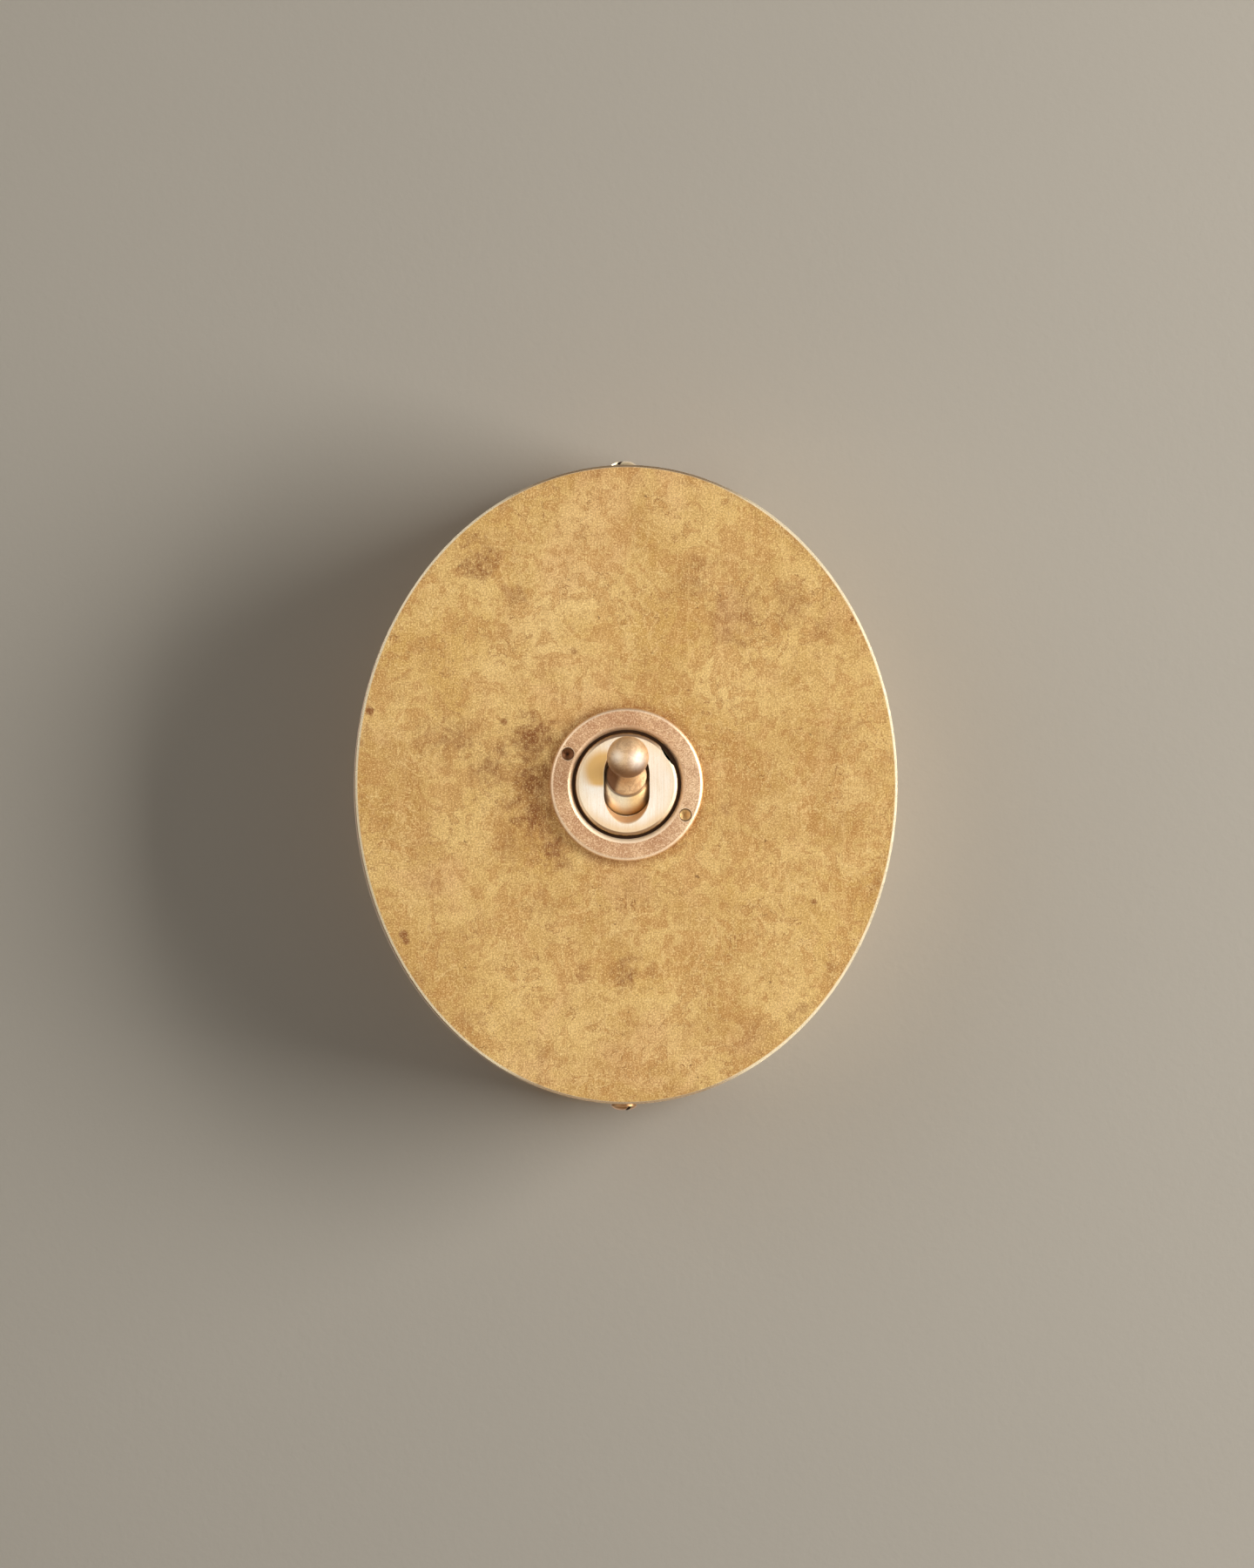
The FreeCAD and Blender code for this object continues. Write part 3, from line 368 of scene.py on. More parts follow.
def root_of_squares(tree, across, up):
    """How far out a point lies: the root of the sum of its two squares."""
    squares = work_out(tree, "ADD", times(tree, across, across), times(tree, up, up))
    return work_out(tree, "SQRT", squares)


def dolly_finish():
    """Satin brass, pale at the crown, with turning rings across its axis, painted shadow on the
    neck and the ball's underside, and painted reflections on the ball.
    """
    material, tree, shader, where = finish_for("dolly_brass", 0.5, metallic=0.92,
                                               Coat_Weight=0.2, Coat_Roughness=0.42)
    turned = put(tree, "ShaderNodeMapping", {"Vector": where, "Location": pivot,
                                             "Rotation": (-dolly_tilt, 0.0, 0.0)},
                 vector_type="TEXTURE").outputs[0]
    x, back, up = put(tree, "ShaderNodeSeparateXYZ", {0: turned}).outputs
    along = times(tree, back, -1.0)
    z = put(tree, "ShaderNodeSeparateXYZ", {0: where}).outputs[2]
    layers = lay(tree, tarnish, {"Vector": where, "Size": 3.2}).outputs
    on_axis = put(tree, "ShaderNodeCombineXYZ", {1: along}).outputs[0]
    rings = noise(tree, on_axis, turning_rings, 2.0)
    crown = ease(tree, along, ball_reach - 0.6 * ball_radius, ball_reach + 0.8 * ball_radius)
    on_ball = ease(tree, along, ball_reach - 0.003, ball_reach - 0.0015)
    seated = ease(tree, along, foot_reach + 0.00025, foot_reach - 0.00005)
    neck = times(tree, ease(tree, along, foot_reach - 0.00005, foot_reach + 0.00035),
                 ease(tree, along, neck_fades_from, neck_fades_to, 1.0, 0.0))
    # Painted shadow: the ball's shadow on the neck's left side, bounded by a leaning line.
    neck_shadow_line = add_up(tree, work_out(tree, "SUBTRACT", x, neck_shadow_edge), (z, -neck_shadow_lean))
    painted_neck_shadow = times(tree, neck, ease(tree, neck_shadow_line, 0.0004, -0.0007))
    # Painted shade: the ball's underside darkened brown.
    under = times(tree, ease(tree, up, 0.1 * ball_radius, -0.85 * ball_radius),
                  ease(tree, along, ball_reach - 1.3 * ball_radius, ball_reach - 0.7 * ball_radius))
    under = times(tree, under, ease(tree, along, ball_reach + ball_radius,
                                    ball_reach + 0.425 * ball_radius))
    # The pivot ball's seat is polished pale, and it is painted paler on its left as a highlight.
    seat_with_painted_highlight = tint(tree, ease(tree, x, -0.0012, 0.0018), paint(255, 244, 216),
                       paint(244, 208, 150))
    # Painted shadow: a dark line under the foot's rim.
    off_foot_shadow_line = work_out(tree, "ABSOLUTE", work_out(tree, "SUBTRACT", along, foot_reach))
    off_middle = work_out(tree, "ABSOLUTE", work_out(tree, "ADD", x, 0.0001))
    # Painted reflection: a faint dark band on the ball between the two painted reflections.
    painted_reflection_gap = times(tree, on_ball, ease(tree, off_middle, 0.0011, 0.0002))
    colour = coat(tree, tint(tree, layers["Clouds"], paint(240, 208, 164), paint(216, 174, 122)),
                  (layers["Islands"], 0.45, paint(160, 112, 68)),
                  (neck, 0.35, paint(204, 172, 134)),
                  (crown, 0.35, paint(246, 224, 190)),
                  (painted_neck_shadow, 0.88, paint(96, 50, 20)),
                  (under, 0.82, paint(112, 70, 38)),
                  (seated, 0.9, seat_with_painted_highlight),
                  (ease(tree, off_foot_shadow_line, 0.00022, 0.0001), 0.75, paint(84, 50, 28)),
                  (ease(tree, layers["Grain"], 0.38, 0.64), 0.4, paint(146, 100, 62)),
                  (painted_reflection_gap, 0.12, paint(158, 112, 68)))
    # Painted reflections: pale patches on the ball standing for reflected windows.
    for at_x, at_z, size, strength, pale_patch in painted_reflection_places:
        away = root_of_squares(tree, work_out(tree, "SUBTRACT", x, at_x),
                               work_out(tree, "SUBTRACT", z, at_z))
        painted_reflection = times(tree, on_ball, ease(tree, away, size, 0.0))
        colour = coat(tree, colour, (painted_reflection, strength, pale_patch))
    rough = add_up(tree, 0.56, (layers["Grain"], 0.16), (seated, -0.2), (layers["Islands"], 0.06))
    height = add_up(tree, layers["Grain"], (rings, 0.5))
    colour_and_relief(tree, shader, colour, rough, height, 0.000014)
    return material


dress("dolly", dolly_finish())

# Bush: turned brass, its slotted face brushed straight up and down. Its thread, keyway and
# the recess round it are dark with brown polish and painted shade. Painted shadow of the
# neck lies on the face left of the slot, and painted shade darkens the slot's walls, the
# dish at its ends and the edge chamfer at top and bottom.

bush_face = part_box("bush")[0].y
thread_radius = 0.0097
slot_half_width = 0.0044
slot_half_length = 0.00606
dish_radius = 0.0088
keyway_turn = math.radians(35.0)
keyway_far = 0.01515
keyway_cutter = 0.006
cutter_at = (keyway_far * math.cos(keyway_turn), 0.0, keyway_far * math.sin(keyway_turn))
painted_neck_shadow_at = (-0.0042, bush_face, 0.0026)


def from_point(tree, where, point):
    """How far each place lies from a point."""
    return put(tree, "ShaderNodeVectorMath", {0: where, 1: point},
               operation="DISTANCE").outputs["Value"]


def bush_finish():
    """Vertical brushing on the face, dirt and painted shade on the thread and in the keyway,
    painted shadow and shade round the slot, and a clean lip.
    """
    material, tree, shader, where = finish_for("brushed_brass", 0.5, metallic=0.9)
    x, y, z = put(tree, "ShaderNodeSeparateXYZ", {0: where}).outputs
    radius = root_of_squares(tree, x, z)
    layers = lay(tree, tarnish, {"Vector": where, "Size": 2.2}).outputs
    lines = lay(tree, rolled_lines, {"Vector": where, "Across": 13000.0,
                                     "Along": 300.0}).outputs["Lines"]
    edge = lay(tree, edge_rub, {"Radius": 0.00025}).outputs["Edge"]
    on_thread = times(tree, ease(tree, radius, thread_radius - 0.0004, thread_radius - 0.0001),
                      ease(tree, y, bush_face + 0.0004, bush_face + 0.0009))
    flat = put(tree, "ShaderNodeCombineXYZ", {0: x, 2: z}).outputs[0]
    keyway = times(tree, ease(tree, from_point(tree, flat, cutter_at), keyway_cutter + 0.00012,
                              keyway_cutter + 0.00004),
                   ease(tree, y, bush_face + 0.0001, bush_face + 0.0003))
    # Dark brown in the thread and keyway: old polish and painted shade.
    dirt_and_painted_shade = work_out(tree, "MAXIMUM", on_thread, keyway)
    past = work_out(tree, "SUBTRACT", work_out(tree, "ABSOLUTE", z),
                    slot_half_length - slot_half_width)
    from_slot = root_of_squares(tree, x, work_out(tree, "MAXIMUM", 0.0, past))
    # Painted shade: the slot's walls made nearly black.
    wall = times(tree, ease(tree, from_slot, slot_half_width + 0.00012, slot_half_width + 0.00004),
                 ease(tree, from_slot, slot_half_width - 0.0005, slot_half_width - 0.0002))
    wall = times(tree, wall, ease(tree, y, bush_face + 0.0002, bush_face + 0.0007))
    wall = times(tree, wall, ease(tree, work_out(tree, "ABSOLUTE", x), 0.0032, 0.0042))
    inside = times(tree, ease(tree, radius, dish_radius, dish_radius - 0.0002),
                   ease(tree, y, bush_face + 0.0010, bush_face + 0.0024))
    # Painted shade: the dish at each end of the slot darkened.
    dish_painted_shade = times(tree, ease(tree, y, bush_face + 0.0001, bush_face + 0.0005),
                 ease(tree, radius, dish_radius, dish_radius - 0.0004))
    low_rim = times(tree, ease(tree, radius, 0.0068, 0.0092), ease(tree, z, -0.0036, -0.0074))
    # Painted shadow: the neck's shadow on the face, left of the slot.
    stain_and_painted_shade = times(tree, ease(tree, x, -0.0030, -0.0040),
                  ease(tree, from_point(tree, where, painted_neck_shadow_at), 0.0050, 0.0028))
    stain_and_painted_shade = times(tree, stain_and_painted_shade, ease(tree, z, -0.0009, 0.0002))
    # Painted shade: the edge chamfer darkened at top and bottom.
    upright = work_out(tree, "DIVIDE", work_out(tree, "ABSOLUTE", z), radius)
    chamfer_painted_shade = times(tree, ease(tree, radius, thread_radius - 0.0006, thread_radius - 0.0004),
                       ease(tree, upright, 0.55, 0.9))
    colour = coat(tree, tint(tree, layers["Clouds"], paint(250, 243, 232), paint(246, 235, 218)),
                  (ease(tree, lines, 0.45, 0.62), 0.34, paint(228, 200, 160)),
                  (ease(tree, radius, 0.0072, 0.0096), 0.5, paint(238, 212, 168)),
                  (low_rim, 0.6, paint(226, 188, 138)),
                  (ease(tree, layers["Grain"], 0.5, 0.7), 0.3, paint(206, 168, 112)),
                  (stain_and_painted_shade, 0.9, paint(228, 182, 104)),
                  (dish_painted_shade, 0.75, paint(206, 154, 98)),
                  (edge, 0.7, paint(255, 244, 220)),
                  (inside, 1.0, paint(220, 178, 118)),
                  (wall, 1.0, paint(78, 50, 30)),
                  (chamfer_painted_shade, 0.75, paint(120, 82, 50)),
                  (dirt_and_painted_shade, 1.0, paint(66, 44, 28)))
    rough = add_up(tree, 0.44, (lines, 0.16), (dirt_and_painted_shade, 0.2))
    colour_and_relief(tree, shader, colour, rough, lines, 0.00003)
    return material


dress("bush", bush_finish())


def grid_mesh(name, points, close_u=False):
    """Quads over a grid of points, one row for each step of u, closed round where asked."""
    rows, columns = points.shape[:2]
    index = np.arange(rows * columns).reshape(rows, columns)
    if close_u:
        index = np.vstack([index, index[:1]])
    quads = np.stack([index[:-1, :-1], index[1:, :-1], index[1:, 1:], index[:-1, 1:]], axis=-1)
    mesh = bpy.data.meshes.new(name)
    mesh.from_pydata(points.reshape(-1, 3).tolist(), [], quads.reshape(-1, 4).tolist())
    mesh.polygons.foreach_set("use_smooth", np.ones(len(mesh.polygons), bool))
    piece = bpy.data.objects.new(name, mesh)
    bpy.context.scene.collection.objects.link(piece)
    return piece


# How deep a ridge's root, and any other added surface, is sunk into the metal under it.
root_sunk = 0.00002
sunk = 0.00003


def screw_ridge(name, radius, height, pitch, start, length, frame_at):
    """A thread's ridge: a rounded V carried up a helix, fading in and out at its ends.

    At angle u along the helix and v across the ridge, the radius is that of the core plus
    the height times a raised cosine of v, and the way along the axis is u's share of the
    pitch plus v's share of the ridge's foot.
    """
    turns = length / pitch
    steps_a_turn = 72
    u = np.linspace(0.0, turns, int(turns * steps_a_turn) + 1)[:, None]
    v = np.linspace(-1.0, 1.0, 9)[None, :]
    fade = np.clip(np.minimum(u, turns - u) * 4.0, 0.0, 1.0)
    out = radius + height * fade * (0.5 + 0.5 * np.cos(np.pi * v)) ** 0.8 - root_sunk
    angle = 2 * np.pi * u
    along = start + pitch * u + 0.5 * pitch * v * (0.25 + 0.75 * fade)
    return grid_mesh(name, frame_at(out * np.cos(angle), out * np.sin(angle), along + 0 * out))


def about_y(across, up, along):
    """Points of a helix about the switch's own axis, sunk where the keyway was milled.

    Along a ray at an angle from the keyway's middle, the milled surface lies at the cutter's
    distance times the angle's cosine, less the half chord that the ray cuts off the cutter.
    """
    turn = np.arctan2(up, across) - keyway_turn
    aside = keyway_far * np.sin(turn)
    meets = (np.abs(aside) < keyway_cutter) & (np.cos(turn) > 0)
    half_chord = np.sqrt(np.where(meets, keyway_cutter ** 2 - aside ** 2, 0.0))
    milled = keyway_far * np.cos(turn) - half_chord - sunk
    keep = np.where(meets, np.minimum(1.0, milled / np.hypot(across, up)), 1.0)
    return np.stack([across * keep, along, up * keep], axis=-1)


ring_low, ring_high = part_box("ring_nut")
recess_floor = ring_low.y + 0.0013
thread_front = bush_face + 0.0007
bush_thread_height = 0.00018
thread_pitch = 0.0005
bush_thread = screw_ridge("bush_thread", thread_radius, bush_thread_height, thread_pitch,
                          thread_front, recess_floor - thread_front, about_y)
bush_thread.data.materials.append(old_brass("thread_brass", paint(206, 166, 104),
                                            paint(150, 108, 62), paint(70, 46, 28), 0.34, 4.0,
                                            0.0001))
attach(bush_thread, "mounting")

# Cover: an oval face and the band behind it, silver-soldered from inside, then left
# unlacquered. The face has mellowed to an uneven gold with brown islands, handled smudges
# and a fine linen grain, with painted shadow just left of the ring nut and dirt and painted
# shade round it. Its edge is rubbed bright, its rim carries a painted highlight that is
# strongest on the right, and painted shade darkens the bevel at top and bottom and the band,
# most on its left. The inside was never polished.

cover_low, cover_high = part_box("cover")
half_wide = cover_high.x
half_tall = cover_high.z
face_front = cover_low.y
bevel = 0.00035
band = 0.0015
plate = 0.002
dirt_and_shade_width = 0.0022
# Each row of these three lists: x, z, size and strength, on the face.
smudges_and_painted_shadow = [(-0.0282, 0.0428, 0.0056, 0.95), (-0.0212, 0.0368, 0.0034, 0.55),
           (0.0135, 0.0395, 0.0052, 0.50), (0.0215, 0.0325, 0.0070, 0.55),
           (0.0318, 0.0352, 0.0060, 0.50), (0.0372, 0.0292, 0.0040, 0.40),
           (-0.0325, 0.0088, 0.0060, 0.50), (-0.0262, 0.0036, 0.0048, 0.65),
           (-0.0240, 0.0066, 0.0028, 0.60), (-0.0376, 0.0092, 0.0050, 0.35),
           # The four strong spots on this line and the next lie just left of the ring nut and are
           # painted shadow of the dolly and ring over the tarnish; the other rows are handled
           # smudges.
           (-0.0178, 0.0095, 0.0060, 0.95), (-0.0180, 0.0015, 0.0064, 1.00),
           (-0.0172, -0.0055, 0.0064, 1.00), (-0.0140, -0.0115, 0.0056, 0.95),
           (-0.0215, -0.0122, 0.0060, 0.40), (0.0004, -0.0360, 0.0040, 1.00),
           (-0.0088, -0.0366, 0.0026, 0.75), (0.0050, -0.0357, 0.0030, 0.35),
           (-0.0368, -0.0188, 0.0040, 0.35), (-0.0156, -0.0515, 0.0050, 0.35),
           (-0.0310, -0.0455, 0.0040, 0.30), (0.0242, -0.0480, 0.0050, 0.30),
           (0.0020, -0.0200, 0.0060, 0.35), (-0.0156, -0.0235, 0.0050, 0.30),
           (0.0189, -0.0048, 0.0022, 0.40), (0.0405, 0.0090, 0.0050, 0.30)]
pale_places = [(-0.0170, 0.0290, 0.0110, 0.60), (-0.0105, 0.0345, 0.0080, 0.45),
               (-0.0090, 0.0205, 0.0060, 0.45), (-0.0245, 0.0210, 0.0070, 0.40),
               (0.0430, -0.0020, 0.0070, 0.45), (0.0270, -0.0056, 0.0060, 0.35),
               (-0.0010, -0.0265, 0.0060, 0.35), (0.0100, -0.0290, 0.0050, 0.30),
               (-0.0080, -0.0485, 0.0080, 0.35), (0.0180, 0.0160, 0.0080, 0.25)]
marks = [(-0.0428, -0.0288, 0.0012, 0.95), (-0.0423, -0.0300, 0.0009, 0.9),
         (-0.0493, 0.0141, 0.0011, 1.0), (0.0338, -0.0429, 0.0018, 0.5),
         (0.0318, -0.0444, 0.0014, 0.4), (0.0394, -0.0349, 0.0016, 0.45),
         (0.0433, 0.0317, 0.0006, 1.0), (-0.0176, -0.0074, 0.0007, 1.0),
         (-0.0166, -0.0078, 0.0006, 0.9), (0.0360, -0.0225, 0.0008, 0.8),
         (-0.0235, 0.0120, 0.0011, 0.8), (-0.0100, 0.0255, 0.0010, 0.6)]


def spots(tree, where, ragged, places, sway, inner):
    """The strongest of several ragged spots, each given by its place, size and strength."""
    strongest = None
    for at_x, at_z, size, strength in places:
        away = from_point(tree, where, (at_x, face_front, at_z))
        away = add_up(tree, away, (ragged, size * sway))
        spot = ease(tree, away, inner * size, size, strength, 0.0)
        strongest = spot if strongest is None else work_out(tree, "MAXIMUM", strongest, spot)
    return strongest


def cover_finish():
    """Unlacquered satin brass with every layer of the tarnish, painted shadow, shade and
    highlights, and a rougher inside.

    The oval value is 0 on the middle line and 1 at the edge of the face.
    """
    material, tree, shader, where = finish_for("aged_brass", 0.5, metallic=0.8)
    x, y, z = put(tree, "ShaderNodeSeparateXYZ", {0: where}).outputs
    wide = work_out(tree, "DIVIDE", x, half_wide)
    tall = work_out(tree, "DIVIDE", z, half_tall)
    oval = root_of_squares(tree, wide, tall)
    radius = root_of_squares(tree, x, z)
    layers = lay(tree, tarnish, {"Vector": where, "Size": 1.0}).outputs
    small = lay(tree, tarnish, {"Vector": where, "Size": 2.6}).outputs
    lines = lay(tree, rolled_lines, {"Vector": where, "Across": 3400.0,
                                     "Along": 420.0}).outputs["Lines"]
    hue = noise(tree, where, 48.0, 3.0, 0.6, 0.6)
    ragged = work_out(tree, "SUBTRACT", noise(tree, where, 260.0, 4.0, 0.65, 0.8), 0.5)
    pale_patch = spots(tree, where, ragged, pale_places, 2.6, 0.0)
    # Dirt and painted shade in a band round the ring nut.
    dirt_and_shade_round_ring = times(tree, ease(tree, radius, ring_high.x + dirt_and_shade_width, ring_high.x), 0.55)
    # Darkening from handled smudges, painted shadow left of the ring, marks and tarnish near the
    # edge.
    stain_and_painted_shade = work_out(tree, "MAXIMUM", dirt_and_shade_round_ring, spots(tree, where, ragged, smudges_and_painted_shadow, 2.6, 0.0))
    mottled = ease(tree, noise(tree, where, 700.0, 3.0, 0.65), 0.36, 0.62, 0.6, 1.2)
    stain_and_painted_shade = work_out(tree, "MULTIPLY", stain_and_painted_shade, mottled, clamp=True)
    stain_and_painted_shade = work_out(tree, "MAXIMUM", stain_and_painted_shade, spots(tree, where, ragged, marks, 1.0, 0.3))
    near_edge = times(tree, ease(tree, oval, 0.93, 0.99), ease(tree, ragged, 0.0, 0.16, 0.0, 0.4))
    stain_and_painted_shade = work_out(tree, "MAXIMUM", stain_and_painted_shade, near_edge)
    on_bevel = times(tree, ease(tree, oval, 0.9915, 0.9945),
                     ease(tree, y, face_front + bevel * 1.3, face_front + bevel * 0.9))
    inside = times(tree, ease(tree, oval, 0.984, 0.980),
                   ease(tree, y, face_front + 0.0012, face_front + 0.0018))
    pole = ease(tree, work_out(tree, "ABSOLUTE", tall), 0.86, 0.96)
    # Painted highlight on the rim: strong on the sides, most on the right, faint at top and bottom.
    side = times(tree, work_out(tree, "SUBTRACT", 1.0, pole),
                 ease(tree, wide, -0.5, 0.3, 0.15, 1.0))
    painted_rim_highlight = times(tree, ease(tree, oval, 0.9892, 0.9918), side)
    from_seam = work_out(tree, "ABSOLUTE", work_out(tree, "SUBTRACT", y, face_front + plate))
    seam = times(tree, ease(tree, from_seam, 0.00012, 0.00005), ease(tree, oval, 0.985, 0.995))
    # Painted shade: the band darkened brown, and more on its left side.
    painted_shade_on_band = times(tree, ease(tree, oval, 0.988, 0.994),
                    ease(tree, y, face_front + 0.0006, face_front + 0.0012))
    in_shade = times(tree, painted_shade_on_band, ease(tree, wide, -0.15, -0.5))
    colour = coat(tree, tint(tree, layers["Clouds"], paint(238, 204, 134), paint(200, 156, 88)),
                  (ease(tree, hue, 0.52, 0.68), 0.6, paint(214, 172, 96)),
                  (ease(tree, hue, 0.48, 0.32), 0.6, paint(232, 188, 134)),
                  (pale_patch, 1.0, paint(250, 218, 152)),
                  (layers["Islands"], 0.56, paint(192, 144, 84)),
                  (small["Islands"], 0.32, paint(180, 132, 74)),
                  (layers["Veins"], 0.5, paint(248, 216, 150)),
                  (small["Veins"], 0.3, paint(244, 210, 146)),
                  (layers["Outlines"], 0.95, paint(140, 94, 50)),
                  (layers["Shores"], 0.35, paint(240, 206, 146)),
                  (small["Outlines"], 0.55, paint(150, 104, 60)),
                  (stain_and_painted_shade, 1.0, paint(134, 80, 42)),
                  (ease(tree, layers["Grain"], 0.36, 0.66), 0.56, paint(146, 98, 50)),
                  (ease(tree, layers["Grain"], 0.48, 0.3), 0.66, paint(250, 226, 164)),
                  (ease(tree, lines, 0.48, 0.7), 0.3, paint(242, 206, 142)),
                  (layers["Specks"], 0.6, paint(104, 66, 38)),
                  (painted_rim_highlight, 0.7, paint(254, 238, 204)),
                  (on_bevel, 1.0, paint(254, 238, 204)),
                  # Painted shade: the bevel darkened at top and bottom.
                  (times(tree, on_bevel, pole), 0.7, paint(136, 94, 54)),
                  (inside, 0.7, paint(132, 92, 56)),
                  (seam, 0.7, paint(120, 90, 62)),
                  (painted_shade_on_band, 0.5, paint(112, 72, 40)),
                  (in_shade, 0.4, paint(66, 42, 26)))
    rough = add_up(tree, 0.42, (layers["Grain"], 0.16), (layers["Islands"], 0.06), (stain_and_painted_shade, 0.1),
                   (on_bevel, -0.24), (inside, 0.1))
    height = add_up(tree, 0.0, (lines, 0.5), (layers["Grain"], 1.0), (layers["Islands"], -0.25),
                    (seam, -2.0))
    colour_and_relief(tree, shader, colour, rough, height, 0.00003)
    return material


dress("cover", cover_finish())


def solder_fillet():
    """The run of solder in the inside corner: a hollow quarter round of uneven leg.

    At angle u round the oval and v from the band to the face, the point lies on a hollow
    curve between the two legs, whose length swells and shrinks with three waves of u.
    """
    u = np.linspace(0.0, 2 * np.pi, 720, endpoint=False)[:, None]
    v = np.linspace(0.0, 1.0, 7)[None, :]
    leg = (0.0011 + 0.00022 * np.sin(3 * u + 0.7) + 0.00014 * np.sin(11 * u)
           + 0.00010 * np.sin(23 * u + 1.9))
    turn = 0.5 * np.pi * v
    inward = leg * (1 - np.cos(turn)) - sunk
    forward = leg * (1 - np.sin(turn))
    x = (half_wide - band - inward) * np.cos(u)
    z = (half_tall - band - inward) * np.sin(u)
    y = face_front + plate - sunk + forward
    return grid_mesh("solder_fillet", np.stack([x, y + 0 * x, z], axis=-1)[:, ::-1],
                     close_u=True)


solder = solder_fillet()
solder.data.materials.append(plated_steel("solder", paint(206, 196, 172), paint(150, 128, 92),
                                          0.36, 0.0002))
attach(solder, "mounting")

# Ring nut: turned brass, blasted with fine beads to a pinkish satin, with a rolled outer
# edge, a smooth inner chamfer and two drilled holes for a pin spanner.

pin_circle = 0.0127
pin_radius = 0.00125
pin_angle = math.radians(-27.4)
ring_radius = ring_high.x
ring_rounding = 0.0007
lip_outer = 0.0113
lip_inner = 0.01045


def ring_finish():
    """Bead-blasted brass: an even grain, rubbed bright on its edges, painted paler to the right,
    with a painted highlight on the low lip, dirt and painted shade in its recess, and painted light
    and shade in its pin holes.
    """
    material, tree, shader, where = finish_for("ring_brass", 0.52, metallic=0.9)
    x, y, z = put(tree, "ShaderNodeSeparateXYZ", {0: where}).outputs
    radius = root_of_squares(tree, x, z)
    layers = lay(tree, tarnish, {"Vector": where, "Size": 2.4}).outputs
    beads = noise(tree, where, 4200.0, 2.0, 0.7)
    edge = lay(tree, edge_rub, {"Radius": 0.00035}).outputs["Edge"]
    smooth = ease(tree, radius, lip_outer + 0.0001, lip_outer - 0.0001)
    # Painted highlight: the lower part of the smooth lip made paler.
    painted_low_lip_highlight = times(tree, smooth, ease(tree, z, -0.003, -0.009))
    # Near black at the recess floor: dirt and painted shade.
    recess_dirt_and_shade = ease(tree, radius, lip_inner + 0.00004, lip_inner - 0.00004)
    rim = ease(tree, radius, ring_radius - 1.1 * ring_rounding, ring_radius - 0.6 * ring_rounding)
    from_holes = []
    for side in (1, -1):
        off_x = work_out(tree, "SUBTRACT", x, side * pin_circle * math.cos(pin_angle))
        off_z = work_out(tree, "SUBTRACT", z, side * pin_circle * math.sin(pin_angle))
        from_holes.append(root_of_squares(tree, off_x, off_z))
    from_hole = work_out(tree, "MINIMUM", *from_holes)
    drilled = times(tree, ease(tree, from_hole, 1.12 * pin_radius, 1.02 * pin_radius),
                    ease(tree, y, ring_low.y + 0.0001, ring_low.y + 0.0006))
    # Painted light and shade in the pin holes: dark walls, a dark drill point in the left hole, and
    # a floor dark in the left hole and lit in the right.
    hole_wall_painted_shade = ease(tree, from_hole, 0.7 * pin_radius, 0.96 * pin_radius)
    hole_point_painted_shade = times(tree, ease(tree, x, 0.001, -0.001),
                       ease(tree, from_hole, 0.3 * pin_radius, 0.16 * pin_radius))
    hole_floor_painted_light = tint(tree, ease(tree, x, -0.001, 0.001), paint(136, 88, 54), paint(252, 216, 150))
    painted_hole_light_and_shade = coat(tree, hole_floor_painted_light, (hole_wall_painted_shade, 1.0, paint(84, 52, 30)),
                       (hole_point_painted_shade, 1.0, paint(70, 44, 26)))
    colour = coat(tree, tint(tree, layers["Clouds"], paint(222, 184, 142), paint(190, 146, 108)),
                  # Painted light: the ring paler towards its right side.
                  (ease(tree, x, 0.004, 0.014), 0.5, paint(246, 218, 180)),
                  (layers["Islands"], 0.3, paint(184, 136, 98)),
                  (ease(tree, beads, 0.44, 0.64), 0.66, paint(164, 114, 80)),
                  (ease(tree, beads, 0.46, 0.34), 0.6, paint(250, 224, 190)),
                  (smooth, 0.65, paint(238, 208, 174)),
                  (painted_low_lip_highlight, 0.8, paint(255, 238, 210)),
                  (rim, 0.6, paint(246, 222, 190)),
                  (edge, 0.45, paint(252, 234, 206)),
                  (drilled, 0.85, painted_hole_light_and_shade),
                  (recess_dirt_and_shade, 1.0, paint(66, 44, 28)))
    rough = add_up(tree, 0.42, (beads, 0.2), (smooth, -0.03), (painted_low_lip_highlight, 0.14), (rim, -0.1))
    height = add_up(tree, beads, (smooth, -0.3))
    colour_and_relief(tree, shader, colour, rough, height, 0.00004)
    return material


dress("ring_nut", ring_finish())

# Side screws: round-headed brass screws driven through the band into the bracket's ears,
# one from above and one from below. Inside, their threads stand clear of the ears.

screw_y = sum(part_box("top_cover_screw")[i].y for i in (0, 1)) / 2
screw_slot_turn = math.radians(62.0)
screw_slot_half_width = 0.00034
screw_slot_floor = half_tall + 0.0005


